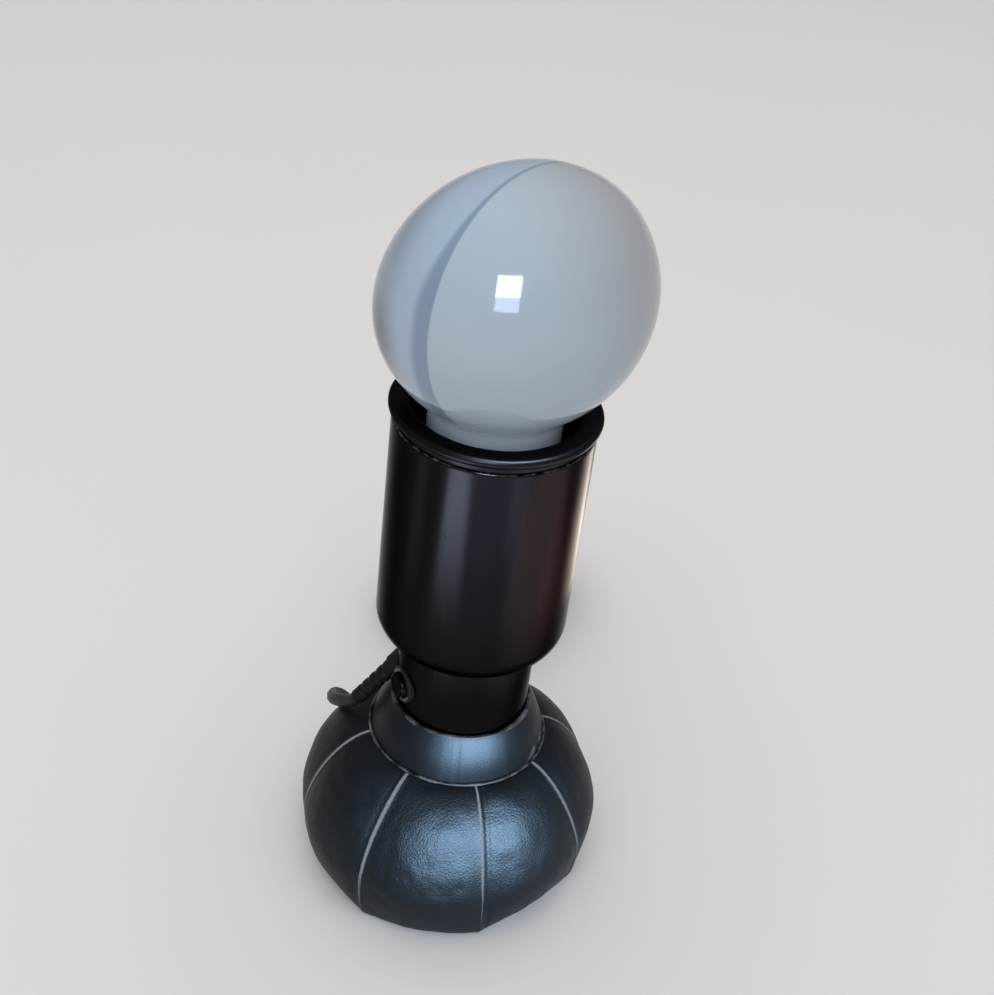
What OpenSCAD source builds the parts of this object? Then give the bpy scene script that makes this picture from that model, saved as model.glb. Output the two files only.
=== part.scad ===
// Table lamp: a lacquered cup on a neck that stands in a leather bag of lead shot.
// Heights of the stem's pieces are given as if the stem stood upright.

/* [Bag] */
// Largest radius of the bag
bag_r = 50.5; // [46:0.5:56]
// Height of the bag's widest line
bag_z = 20; // [16:1:24]
// Radius of the bag's bottom edge at the seams
bag_foot_r = 44.5; // [39:0.5:46]
// Radius of the bag's mouth
mouth_r = 28.5; // [28:0.5:31]
// Height of the bag's mouth
mouth_z = 52; // [50:0.5:56]
// Thickness of the leather
leather_t = 2; // [1.5:0.1:2.6]
// How far a panel stands proud of its seams
panel_swell = 1.4; // [0.5:0.1:2.5]
// How straight the bottom edge of a panel is, from round to a chord
foot_chord = 0.9; // [0:0.1:1]
// Gap between two panels at a seam
seam_gap = 0.3; // [0.2:0.05:0.6]
// Fill height of the shot
shot_z = 30; // [27:0.5:33]
// Radius of the ball of shot that turns with the stem
shot_ball_r = 11; // [9:0.5:12]

/* [Lean] */
// Lean of the stem to the right
lean = 3; // [0:0.5:5]
// Height of the point about which the stem leans
pivot_z = 14; // [13:0.5:16]

/* [Neck] */
// Outer radius of the neck
neck_r = 21.6; // [20.5:0.1:23]
// Wall of the neck
neck_wall = 1.6; // [1.2:0.1:2.2]
// Height of the collar's top edge
collar_top_z = 67.5; // [66:0.5:71]
// Thickness of the collar at its top edge
collar_t = 1.4; // [1:0.1:2]
// Thickness of the foot flange
flange_t = 3; // [2.5:0.1:4]
// Shaft radius of a flange screw
flange_screw_r = 1.5; // [1.2:0.1:1.8]

/* [Cup] */
// Height of the cup's underside
cup_z = 94; // [90:0.5:96]
// Height of the cup
cup_h = 78.5; // [77:0.5:84]
// Outer radius of the cup
cup_r = 30; // [29:0.5:32]
// Wall of the cup
cup_wall = 1.5; // [1.2:0.1:2]
// Radius of the cup's rounded shoulder
shoulder_r = 9; // [6:0.5:10]

/* [Top ring] */
// Outer radius of the top ring
ring_r = 31.2; // [30.8:0.1:33]
// Bore radius of the top ring
ring_bore_r = 24.6; // [24:0.1:25.5]
// Thickness of the top ring's plate
ring_h = 3.2; // [3.1:0.1:5]
// Edge rounding of the top ring
ring_round = 1.5; // [1:0.1:1.5]
// Height of the groove between the ring's plate and the cup's lip
ring_lift = 2; // [1:0.1:3]
// Depth of the spigot that seats the ring in the cup
spigot_h = 5; // [3:0.5:8]

/* [Bulb] */
// Radius of the globe across its optical axis
globe_r = 40; // [37:0.1:41]
// Depth of the coated bowl behind the globe's widest circle
bowl_depth = 37.4; // [34:0.1:39]
// Height of the window dome in front of the widest circle
window_depth = 32.7; // [28:0.1:36]
// Height of the globe's centre
globe_z = 213.3; // [211:0.1:216]
// Shift of the globe away from its window
globe_shift = 2.2; // [0:0.1:3]
// Direction that the window faces
window_turn = 124; // [90:1:160]
// Rise of the window's axis
window_rise = 26; // [10:1:40]
// Outer radius of the bulb's glass neck
bulb_neck_r = 19.8; // [18.5:0.1:20.5]
// Thickness of the glass
glass_t = 1; // [0.8:0.1:1.4]

/* [Lampholder] */
// Outer radius of the lampholder
holder_r = 19; // [18:0.1:20]
// Wall of the lampholder's shell
holder_wall = 1.8; // [1.4:0.1:2.2]
// Height of the lampholder's base
holder_base_h = 12; // [10:0.5:13]
// Height of the lampholder's shell
holder_shell_h = 42; // [40:0.5:44]
// Mean thread radius of the bulb cap
thread_r = 12.7; // [12.5:0.05:12.9]
// Pitch of the cap's thread
thread_pitch = 3.6; // [3.4:0.1:3.8]
// Threaded length of the cap
thread_h = 18; // [14.4:0.5:20]

/* [Switch] */
// Direction that the push button faces
switch_turn = -150; // [-160:1:-120]
// Height of the push button
switch_z = 76.5; // [76:0.5:78]
// Radius of the push button
button_r = 4.4; // [3.8:0.1:4.6]
// Outer radius of the bezel round the button
bezel_r = 6.2; // [5.9:0.1:6.8]
// How far the button stands out of its bezel
button_out = 1.8; // [1.6:0.1:2.6]
// Travel of the button
button_travel = 1.5; // [1:0.1:1.6]

/* [Cord] */
// Diameter of the mains cord
cord_d = 4.6; // [4.4:0.1:4.8]
// Direction in which the cord leaves the neck
gland_turn = 177; // [170:1:180]
// Height of the cord's outlet
gland_z = 75.5; // [75.5:0.5:77]
// Angle below level at which the cord leaves
gland_drop = 56; // [54:1:58]
// Length of the strain relief
relief_l = 20; // [20:0.5:22]
// Turns in each layer of the cord's coil
coil_turns = 2.495; // [2.245:0.25:2.745]
// Radius of a plug pin
pin_r = 2; // [1.8:0.1:2.4]
// Free length of a plug pin
pin_l = 19; // [17:0.5:20]

/* [Hidden] */
$fn = 96;

// Clearances
fit_gap = 0.05;
free_gap = 0.3;
soft_gap = 0.6;

// Colours
leather_black = "#1c1c1f";
lacquer_black = "#202024";
seam_grey = "#8d8d8a";
bare_metal = "#b9bbbd";
brass_yellow = "#b8964a";
opal_grey = "#a3b1bf";
phenolic_brown = "#2a2220";
cord_black = "#161618";
shot_grey = "#5a5c60";

// The stem's own frame
module on_stem() {
    translate([0, 0, pivot_z]) rotate([0, lean, 0]) translate([0, 0, -pivot_z]) children();
}
function bent(p, share) = let (a = lean * share, z = p[2] - pivot_z)
    [p[0] * cos(a) + z * sin(a), p[1], pivot_z - p[0] * sin(a) + z * cos(a)];
function stem_at(p) = bent(p, 1);

// A tube of n sides along a path, with flat ends
function unit(v) = v / norm(v);
function heading(path, i) = unit(path[min(i + 1, len(path) - 1)] - path[max(i - 1, 0)]);
function tube_points(path, radii, n) = [for (i = [0:len(path) - 1])
    let (t = heading(path, i), u = unit(cross(t, [0.02, 0.01, 1])), v = cross(t, u))
    for (j = [0:n - 1]) path[i] + radii[i] * (u * cos(360 * j / n) + v * sin(360 * j / n))];
function tube_faces(m, n) = concat(
    [for (j = [1:n - 2]) [0, j, j + 1]],
    [for (j = [1:n - 2]) let (e = (m - 1) * n) [e, e + j + 1, e + j]],
    [for (i = [0:m - 2], j = [0:n - 1]) [i * n + j, (i + 1) * n + j, (i + 1) * n + (j + 1) % n]],
    [for (i = [0:m - 2], j = [0:n - 1]) [i * n + j, (i + 1) * n + (j + 1) % n, i * n + (j + 1) % n]]);
module tube(path, r, n) {
    polyhedron(tube_points(path, [for (p = path) r], n), tube_faces(len(path), n));
}
function path_length(path) = len(path) < 2 ? 0 :
    [for (i = 1, s = norm(path[1] - path[0]); i < len(path);
        i = i + 1, s = s + (i < len(path) ? norm(path[i] - path[i - 1]) : 0)) s][len(path) - 2];
// Least distance between points of a path that are more than one turn's share apart
function least_gap(path, apart, d) = min([
    for (i = [0:len(path) - 1 - apart], j = [i + apart:len(path) - 1]) norm(path[i] - path[j])]) - d;

// Bag: seams run from the mouth to the foot and spread where the front panel slumps
seam_top = [-164.5, -119.5, -74.5, -29.5, 15.5, 60.5, 105.5, 150.5];
seam_spread = [-2, -3, 2, 7, 3, 0, 0, 0];
// Share of the foot's flatness that each panel has: the front left panel bulges down to its foot
panel_flat = [1, 0.4, 1.1, 1, 1, 1, 1, 1];
panel_cols = 8;
panel_rows = 14;
leather_run = 1.2 * leather_t;
bend_from_z = 8;
mouth_power = 1.22;
function smooth(x) = let (s = min(1, max(0, x))) s * s * (3 - 2 * s);
function bend_share(z) = smooth((z - bend_from_z) / (mouth_z - bend_from_z));
function seam_at(i, v) = let (k = (i - 1) % 8)
    seam_top[k] + (i > 8 ? 360 : 0) + seam_spread[k] * smooth(v);
// Radius and height of the bag at a seam, from the mouth (v = 0) to the foot (v = 1)
widest_v = 0.62;
function bag_profile(v) = v < widest_v
    ? let (t = 90 * (1 - v / widest_v))
        [mouth_r + (bag_r - panel_swell - mouth_r) * pow(cos(t), mouth_power),
         bag_z + (mouth_z - bag_z) * pow(sin(t), mouth_power)]
    : let (t = 90 * (v - widest_v) / (1 - widest_v))
        [bag_foot_r + (bag_r - panel_swell - bag_foot_r) * cos(t), bag_z * (1 - sin(t))];
function bag_radius(u, v, half, flat, inset) = let (
        chord = flat * smooth((v - widest_v) / (1 - widest_v)),
        swell = panel_swell * sin(180 * pow(v, 0.8)) * (1 - u * u),
        straight = cos(half) / cos(half * u))
    bag_profile(v)[0] * (1 - chord + chord * straight) + swell - inset;
function bag_point(i, u, v, inset) = let (
        a0 = seam_at(i, v), a1 = seam_at(i + 1, v), half = (a1 - a0) / 2,
        flat = min(1, foot_chord * panel_flat[i - 1]),
        r = bag_radius(u, v, half, flat, inset),
        a = (a0 + a1) / 2 + u * (half - seam_gap / 2 / r * 57.3),
        z = bag_profile(v)[1])
    bent([r * cos(a), r * sin(a), z], bend_share(z));
module bag_panel(i) {
    nu = panel_cols + 1;
    nv = panel_rows + 1;
    layer = nu * nv;
    points = [for (inset = [0, leather_run], q = [0:panel_rows], p = [0:panel_cols])
        bag_point(i, 2 * p / panel_cols - 1, q / panel_rows, inset)];
    // Outer faces, inner faces, then the two seam edges, the mouth edge and the foot edge
    cells = [for (q = [0:panel_rows - 1], p = [0:panel_cols - 1]) q * nu + p];
    left = [for (q = [0:panel_rows - 1]) [q * nu, (q + 1) * nu]];
    right = [for (q = [0:panel_rows - 1]) [(q + 1) * nu + panel_cols, q * nu + panel_cols]];
    top = [for (p = [0:panel_cols - 1]) [p + 1, p]];
    foot = [for (p = [0:panel_cols - 1]) [panel_rows * nu + p, panel_rows * nu + p + 1]];
    faces = concat(
        [for (c = cells) [c, c + 1, c + nu + 1]],
        [for (c = cells) [c, c + nu + 1, c + nu]],
        [for (c = cells) [layer + c, layer + c + nu + 1, layer + c + 1]],
        [for (c = cells) [layer + c, layer + c + nu, layer + c + nu + 1]],
        [for (e = concat(left, right, top, foot)) [e[0], e[1], layer + e[1]]],
        [for (e = concat(left, right, top, foot)) [e[0], layer + e[1], layer + e[0]]]);
    color(leather_black) polyhedron(points, faces);
}
module base_disc() {
    color(leather_black) linear_extrude(leather_t)
        polygon([for (i = [1:8], u = [-1:0.5:0.5]) let (
            p = bag_point(i, u, 1, leather_run + free_gap)) [p[0], p[1]]]);
}
// Inner radius of the bag that the shot keeps clear of at every seam
function shot_radius(v) = bag_radius(0, v, 33, foot_chord, 0) - panel_swell - leather_run - soft_gap;
function shot_rim(v) = [min(shot_radius(v), bag_profile(v)[0] - leather_run - soft_gap - 0.8),
    bag_profile(v)[1]];
module shot_fill() {
    low = leather_t + free_gap;
    rim = [for (v = [0.95:-0.05:0.35]) let (z = bag_profile(v)[1]) if (z > low && z < shot_z) shot_rim(v)];
    color(shot_grey) difference() {
        rotate_extrude() polygon(concat([[0, low], [rim[0][0] - 1, low]], rim,
            [[rim[len(rim) - 1][0], shot_z], [0, shot_z]]));
        translate([0, 0, pivot_z]) sphere(shot_ball_r + free_gap);
        translate([0, 0, pivot_z]) cylinder(r = shot_ball_r / 2, h = shot_z);
    }
}
module shot_ball() {
    color(shot_grey) translate([0, 0, pivot_z]) sphere(shot_ball_r);
}

// Mouth of the bag and foot of the stem
welt_r = 0.5;
mouth_lift = 0.15;
collar_foot_z = mouth_z + mouth_lift;
collar_in = leather_run + 1;
flange_z = collar_foot_z - fit_gap;
flange_r = mouth_r - leather_run - free_gap;
neck_in = neck_r - neck_wall;
neck_foot_z = flange_z;
neck_top_z = cup_z - fit_gap;
flange_spigot_h = 10;
flange_spigot_t = 4;
flange_screw_z = flange_z + 0.55 * flange_spigot_h;
flange_screw_turns = [-90, 30, 110];
module mouth_welt() {
    color(seam_grey) on_stem() translate([0, 0, collar_foot_z + welt_r + 0.1])
        rotate_extrude() translate([mouth_r + welt_r, 0]) circle(welt_r, $fn = 24);
}
module collar() {
    color(leather_black) on_stem() rotate_extrude() polygon([
        [mouth_r, collar_foot_z],
        [neck_r + collar_t + fit_gap, collar_top_z],
        [neck_r + fit_gap, collar_top_z],
        [mouth_r - collar_in, collar_foot_z]]);
}
module foot_flange() {
    color(bare_metal) on_stem() difference() {
        union() {
            translate([0, 0, flange_z - flange_t]) cylinder(r = flange_r, h = flange_t);
            translate([0, 0, flange_z - 0.5]) cylinder(r = neck_in - fit_gap, h = flange_spigot_h + 0.5);
        }
        translate([0, 0, flange_z]) cylinder(r = neck_in - flange_spigot_t, h = flange_spigot_h + 1);
        flange_screw_holes(flange_screw_r + fit_gap);
    }
}
module flange_screw_holes(r) {
    for (a = flange_screw_turns) rotate([0, 0, a])
        translate([neck_in - flange_spigot_t - 1, 0, flange_screw_z]) rotate([0, 90, 0])
            cylinder(r = r, h = flange_spigot_t + neck_wall + 3, $fn = 32);
}
// Headless screws, sunk in the neck under the collar
module flange_screws() {
    color(bare_metal) on_stem() for (a = flange_screw_turns) rotate([0, 0, a])
        translate([neck_in - flange_spigot_t, 0, flange_screw_z]) rotate([0, 90, 0])
            cylinder(r = flange_screw_r, h = flange_spigot_t + neck_wall - free_gap, $fn = 32);
}

// Neck, cup and top ring
nipple_r = 5;
nipple_bore_r = 3.5;
bridge_t = 3;
washer_t = 1;
nut_t = 4;
nut_flats = 14;
cup_floor_z = cup_z + cup_wall;
lip_z = cup_z + cup_h;
module switch_axis() {
    on_stem() rotate([0, 0, switch_turn]) translate([0, 0, switch_z]) rotate([0, 90, 0]) children();
}
module gland_axis() {
    on_stem() rotate([0, 0, gland_turn]) translate([neck_r, 0, gland_z])
        rotate([0, 90 + gland_drop, 0]) children();
}
bush_r = button_r + 1;
gland_r = cord_d / 2 + 1.1;
gland_in_l = 7;
gland_out_l = 1.5;
module neck_tube() {
    color(lacquer_black) difference() {
        on_stem() difference() {
            translate([0, 0, neck_foot_z]) cylinder(r = neck_r, h = neck_top_z - neck_foot_z);
            translate([0, 0, neck_foot_z - 1]) cylinder(r = neck_in, h = neck_top_z - neck_foot_z + 2);
            flange_screw_holes(flange_screw_r + fit_gap);
        }
        switch_axis() cylinder(r = bush_r + fit_gap, h = neck_r + 5);
        gland_axis() translate([0, 0, -gland_in_l - 3]) cylinder(r = gland_r + fit_gap, h = gland_in_l + 9);
    }
}
module neck_bridge() {
    color(bare_metal) on_stem() difference() {
        translate([0, 0, neck_top_z - bridge_t]) cylinder(r = neck_in - fit_gap, h = bridge_t);
        translate([0, 0, neck_top_z - bridge_t - 1]) cylinder(r = nipple_r + fit_gap, h = bridge_t + 2);
    }
}
function arc(c, r, a0, a1, n) = [for (i = [0:n]) let (a = a0 + (a1 - a0) * i / n) c + r * [cos(a), sin(a)]];
module cup() {
    inner_shoulder = max(0.5, shoulder_r - cup_wall);
    color(lacquer_black) on_stem() rotate_extrude() polygon(concat(
        [[nipple_r + fit_gap, cup_z]],
        arc([cup_r - shoulder_r, cup_z + shoulder_r], shoulder_r, -90, 0, 12),
        [[cup_r, lip_z - 0.3], [cup_r - 0.3, lip_z], [cup_r - cup_wall, lip_z]],
        arc([cup_r - cup_wall - inner_shoulder, cup_floor_z + inner_shoulder], inner_shoulder, 0, -90, 12),
        [[nipple_r + fit_gap, cup_floor_z]]));
}
module top_ring() {
    seat_z = lip_z + fit_gap;
    ring_z = lip_z + ring_lift;
    bore = ring_bore_r + ring_round;
    rim = ring_r - ring_round;
    spigot_r = cup_r - cup_wall - 0.15;
    spigot_in = spigot_r - 1.5;
    seat_r = cup_r - cup_wall / 2;
    color(lacquer_black) on_stem() rotate_extrude() polygon(concat(
        arc([rim, ring_z + ring_round], ring_round, -90, 0, 8),
        arc([rim, ring_z + ring_h - ring_round], ring_round, 0, 90, 8),
        arc([bore, ring_z + ring_h - ring_round], ring_round, 90, 180, 8),
        arc([bore, ring_z + ring_round], ring_round, 180, 225, 4),
        [[spigot_in, ring_z + 0.3], [spigot_in, seat_z - spigot_h], [spigot_r, seat_z - spigot_h],
         [spigot_r, seat_z], [seat_r, seat_z], [seat_r, ring_z]]));
}
nipple_low_z = neck_top_z - bridge_t;
nut_z = cup_floor_z + washer_t;
holder_z = nut_z + nut_t;
nipple_top_z = holder_z + 8;
module nipple() {
    color(bare_metal) on_stem() difference() {
        translate([0, 0, nipple_low_z]) cylinder(r = nipple_r, h = nipple_top_z - nipple_low_z);
        translate([0, 0, nipple_low_z - 1]) cylinder(r = nipple_bore_r, h = nipple_top_z - nipple_low_z + 2);
    }
}
module nipple_nut() {
    color(bare_metal) on_stem() translate([0, 0, nut_z]) difference() {
        cylinder(d = nut_flats / cos(30), h = nut_t, $fn = 6);
        translate([0, 0, -1]) cylinder(r = nipple_r + fit_gap, h = nut_t + 2);
    }
}
module nipple_washer() {
    color(bare_metal) on_stem() translate([0, 0, cup_floor_z]) difference() {
        cylinder(r = 2 * nipple_r, h = washer_t);
        translate([0, 0, -1]) cylinder(r = nipple_r + fit_gap, h = washer_t + 2);
    }
}

// Lampholder
holder_shell_z = holder_z + holder_base_h;
holder_top_z = holder_shell_z + holder_shell_h;
core_t = 8;
core_r = holder_r - holder_wall - 0.2;
core_z = holder_shell_z;
contact_z = core_z + core_t;
contact_t = 3;
contact_r = 4;
terminal_x = 9;
terminal_r = 1.6;
lead_hole_r = 1.4;
thread_depth = 0.45;
shell_t = 0.6;
module holder_base() {
    color(phenolic_brown) on_stem() difference() {
        translate([0, 0, holder_z]) cylinder(r = holder_r, h = holder_base_h);
        translate([0, 0, holder_z - 1]) cylinder(r = nipple_r + fit_gap, h = holder_base_h);
        translate([0, 0, nipple_top_z + 0.5]) cylinder(r = holder_r - holder_wall - 2, h = holder_base_h);
    }
}
module holder_shell() {
    color(phenolic_brown) on_stem() difference() {
        translate([0, 0, holder_shell_z]) cylinder(r = holder_r, h = holder_shell_h);
        translate([0, 0, holder_shell_z - 1]) cylinder(r = holder_r - holder_wall, h = holder_shell_h + 2);
    }
}
module holder_core() {
    color("ivory") on_stem() difference() {
        translate([0, 0, core_z]) cylinder(r = core_r, h = core_t);
        for (s = [-1, 1]) {
            translate([s * terminal_x, 0, core_z - 1])
                cylinder(r = terminal_r + fit_gap, h = core_t + 2, $fn = 32);
            translate([0, s * terminal_x, core_z - 1])
                cylinder(r = lead_hole_r, h = core_t + 2, $fn = 32);
        }
    }
}
function thread_wave(z, r) = r + thread_depth * cos(360 * z / thread_pitch);
thread_z = contact_z + contact_t + 5;
thread_steps = 40;
module thread_sleeve(r, t) {
    zs = [for (i = [0:thread_steps]) thread_h * i / thread_steps];
    rotate_extrude() polygon(concat(
        [for (z = zs) [thread_wave(z, r), thread_z + z]],
        [for (i = [thread_steps:-1:0]) [thread_wave(zs[i], r) + t, thread_z + zs[i]]]));
}
module screw_shell() {
    sleeve_r = thread_r + free_gap;
    foot_r = sleeve_r + thread_depth;
    color(brass_yellow) on_stem() union() {
        thread_sleeve(sleeve_r, shell_t);
        translate([0, 0, contact_z]) difference() {
            cylinder(r = foot_r + shell_t, h = thread_z - contact_z);
            translate([0, 0, -1]) cylinder(r = foot_r, h = thread_z - contact_z + 2);
        }
    }
}
module centre_contact() {
    color(brass_yellow) on_stem() translate([0, 0, contact_z]) cylinder(r = contact_r, h = contact_t);
}
module terminal_screws() {
    color(bare_metal) on_stem() for (s = [-1, 1]) translate([s * terminal_x, 0, core_z - 2]) {
        cylinder(r = 2 * terminal_r, h = 1.9, $fn = 32);
        cylinder(r = terminal_r, h = core_t - 0.5, $fn = 32);
    }
}

// Bulb
cap_foot_z = contact_z + contact_t + free_gap;
cap_top_z = thread_z + thread_h + 4;
cap_t = 0.4;
cap_r = thread_r + thread_depth;
glass_root_r = cap_r - 0.4;
neck_flare_z = cap_top_z + 10;
globe_steps = 24;
function globe_profile(inset) = concat(
    [for (i = [0:globe_steps]) let (a = -90 + 90 * i / globe_steps)
        [(globe_r - inset) * cos(a), (bowl_depth - inset) * sin(a)]],
    [for (i = [1:globe_steps]) let (a = 90 * i / globe_steps)
        [(globe_r - inset) * cos(a), (window_depth - inset) * sin(a)]]);
module globe(inset) {
    translate([0, 0, globe_z]) rotate([0, 0, window_turn]) translate([-globe_shift, 0, 0])
        rotate([0, 90 - window_rise, 0]) rotate_extrude() polygon(globe_profile(inset));
}
module bulb_neck(inset) {
    rotate_extrude() polygon([[0, cap_top_z - inset], [glass_root_r - inset, cap_top_z - inset],
        [glass_root_r - inset, cap_top_z + 1.5], [bulb_neck_r - inset, neck_flare_z],
        [bulb_neck_r - inset, globe_z - 20], [0, globe_z - 20]]);
}
module bulb_glass() {
    color(opal_grey) on_stem() difference() {
        union() {
            globe(0);
            bulb_neck(0);
        }
        union() {
            globe(glass_t);
            bulb_neck(glass_t);
        }
    }
}
module bulb_cap() {
    sleeve_top = thread_z + thread_h;
    color(brass_yellow) on_stem() union() {
        thread_sleeve(thread_r - cap_t, cap_t);
        translate([0, 0, sleeve_top - 0.2]) difference() {
            cylinder(r = cap_r, h = cap_top_z - sleeve_top + 0.1);
            translate([0, 0, -1]) cylinder(r = cap_r - 2 * cap_t, h = cap_top_z - sleeve_top + 3);
        }
    }
}
insulator_z = cap_foot_z + 1.2;
module cap_insulator() {
    seat_r = thread_r - thread_depth - cap_t - fit_gap;
    color("black") on_stem() rotate_extrude() polygon([[0, insulator_z], [contact_r + 0.5, insulator_z],
        [cap_r - cap_t - 1.6, thread_z + 0.2], [seat_r, thread_z + 0.2], [seat_r, thread_z + 3],
        [0, thread_z + 3]]);
}
module cap_contact() {
    color(bare_metal) on_stem() translate([0, 0, cap_foot_z]) cylinder(r = contact_r, h = 1.2 - fit_gap);
}
mount_top_z = globe_z - 22;
lead_wire_r = 0.5;
lead_wire_x = 7;
filament_z = globe_z - 6;
module bulb_mount() {
    foot_r = glass_root_r - glass_t - 0.2;
    color("white") on_stem() difference() {
        rotate_extrude() polygon([[0, cap_top_z + 0.25], [foot_r, cap_top_z + 0.3], [foot_r, cap_top_z + 1.5],
            [lead_wire_x + 2, cap_top_z + 5], [lead_wire_x + 2, mount_top_z], [0, mount_top_z]]);
        for (s = [-1, 1]) translate([s * lead_wire_x, 0, thread_z])
            cylinder(r = lead_wire_r + fit_gap, h = globe_z, $fn = 24);
    }
}
module bulb_leads() {
    color(bare_metal) on_stem() for (s = [-1, 1]) translate([s * lead_wire_x, 0, cap_top_z + 1])
        cylinder(r = lead_wire_r, h = filament_z - cap_top_z - 1, $fn = 24);
}
module filament() {
    color("dimgray") on_stem() translate([0, 0, filament_z + 0.45]) rotate_extrude(angle = 180)
        translate([lead_wire_x, 0]) circle(0.4, $fn = 24);
}

// Push switch in the neck
bush_foot = 13;
switch_l = 10;
switch_body_r = 7;
bezel_t = 0.9;
spring_room = 3;
button_foot = bush_foot + spring_room + button_travel;
bush_top = neck_r + bezel_t;
module switch_body() {
    color(phenolic_brown) switch_axis() difference() {
        union() {
            translate([0, 0, bush_foot - switch_l]) cylinder(r = switch_body_r, h = switch_l);
            translate([0, 0, bush_foot - 0.5]) cylinder(r = bush_r, h = bush_top - bush_foot + 0.5);
        }
        translate([0, 0, bush_foot]) cylinder(r = button_r + 0.08, h = neck_r);
    }
}
module switch_bezel() {
    color(lacquer_black) difference() {
        switch_axis() difference() {
            translate([0, 0, neck_r - 2]) cylinder(r = bezel_r, h = bezel_t + 2);
            translate([0, 0, neck_r - 3]) cylinder(r = bush_r + fit_gap, h = bezel_t + 5);
        }
        on_stem() translate([0, 0, switch_z - 20]) cylinder(r = neck_r + fit_gap, h = 40);
    }
}
module switch_button() {
    color(lacquer_black) switch_axis() rotate_extrude() polygon(concat(
        [[0, button_foot], [button_r, button_foot]],
        [[button_r, bush_top + button_out - 1]],
        arc([button_r - 1, bush_top + button_out - 1], 1, 0, 60, 5),
        [[0, bush_top + button_out]]));
}
spring_turns = 3;
spring_wire_r = 0.3;
spring_r = button_r - 1.2;
spring_low = bush_foot + spring_wire_r + 0.1;
spring_high = button_foot - spring_wire_r - 0.1;
spring_rings = 8;
spring_path = [for (i = [0:spring_turns * spring_rings]) let (a = 360 * i / spring_rings)
    [spring_r * cos(a), spring_r * sin(a),
     spring_low + (spring_high - spring_low) * i / (spring_turns * spring_rings)]];
module switch_spring() {
    color(bare_metal) switch_axis() tube(spring_path, spring_wire_r, 6);
}

// Cord outlet
relief_root_r = cord_d / 2 + 0.6;
relief_tip_r = cord_d / 2 + 0.3;
module cord_gland() {
    color(cord_black) gland_axis() difference() {
        translate([0, 0, -gland_in_l]) cylinder(r = gland_r, h = gland_in_l + gland_out_l);
        translate([0, 0, -gland_in_l - 1])
            cylinder(r = cord_d / 2 + fit_gap, h = gland_in_l + gland_out_l + 2);
    }
}
module strain_relief() {
    color(cord_black) gland_axis() difference() {
        translate([0, 0, gland_out_l]) cylinder(r1 = relief_root_r, r2 = relief_tip_r, h = relief_l);
        translate([0, 0, gland_out_l - 1]) cylinder(r = cord_d / 2 + fit_gap, h = relief_l + 2);
    }
}
function gland_at(t) = stem_at([
    cos(gland_turn) * (neck_r + t * cos(gland_drop)),
    sin(gland_turn) * (neck_r + t * cos(gland_drop)),
    gland_z - t * sin(gland_drop)]);

// Leads inside the neck and up the nipple
lead_r = 0.8;
lead_sides = 6;
function on_switch(t, x, y) = [
    cos(switch_turn) * t - sin(switch_turn) * y,
    sin(switch_turn) * t + cos(switch_turn) * y,
    switch_z + x];
gland_end = -gland_in_l - 0.9;
function gland_stem(t, y) = [
    cos(gland_turn) * (neck_r + t * cos(gland_drop)) - sin(gland_turn) * y,
    sin(gland_turn) * (neck_r + t * cos(gland_drop)) + cos(gland_turn) * y,
    gland_z - t * sin(gland_drop)];
switch_end = bush_foot - switch_l - 1;
// Both leads to the lampholder rise side by side in the nipple and bend apart under its core
lead_x = 1.6;
lead_bend_z = core_z - 1.6;
function lead_rise(s) = [
    [s * lead_x, 0, neck_top_z - 2],
    [s * lead_x, 0, nipple_top_z - 0.4],
    [s * 1.2, s * 2.2, lead_bend_z - 0.8],
    [0, s * 5.5, lead_bend_z - 0.2],
    [0, s * (terminal_x - 0.4), lead_bend_z]];
live_path = [gland_stem(gland_end, 1), [-10, 3.2, switch_z + 6.8], [-4, 3.6, switch_z + 5],
    [0, 3, switch_z + 2],
    on_switch(switch_end, 1.2, 2)];
neutral_path = concat([gland_stem(gland_end, -1), [-10, 7, switch_z + 6.8], [-4, 8, switch_z + 6],
    [1, 6, switch_z + 6.5], [1.8, 2, switch_z + 8.6]], lead_rise(1));
switched_path = concat([on_switch(switch_end, -2.5, 2), [2.2, -2.2, switch_z - 1.9],
    [2, -2.4, switch_z + 2.5], [0, -1.8, switch_z + 6.5]], lead_rise(-1));
module lead(path) {
    color("saddlebrown") tube([for (p = path) stem_at(p)], lead_r, lead_sides);
}

// Cord: from the outlet down the back of the bag and along the table to its coil
cord_lie_z = 3;
cord_route = [
    [-33.6, 3.2, 56.2], [-37.0, 6.6, 52.9], [-40.2, 12.0, 48.6], [-41.6, 18.8, 43.8], [-41.7, 26.0, 38.2],
    [-40.8, 32.9, 31.2], [-39.6, 39.2, 23.6], [-38.2, 44.6, 15.5], [-36.2, 50.0, 8.8], [-33.2, 56.0, 4.6],
    [-29.0, 64.0, 3.0], [-24.0, 73.5, 3.0], [-18.9, 82.5, 3.0], [-15.7, 86.8, 3.0], [-11.6, 90.0, 3.0],
    [-6.8, 92.0, 3.0]];
coil_centre = [3, 125];
coil_in_r = 19.6;
coil_step = 5.2;
coil_layers = 4;
coil_rings = 24;
coil_out_r = coil_in_r + coil_turns * coil_step;
coil_from = 270;
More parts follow.
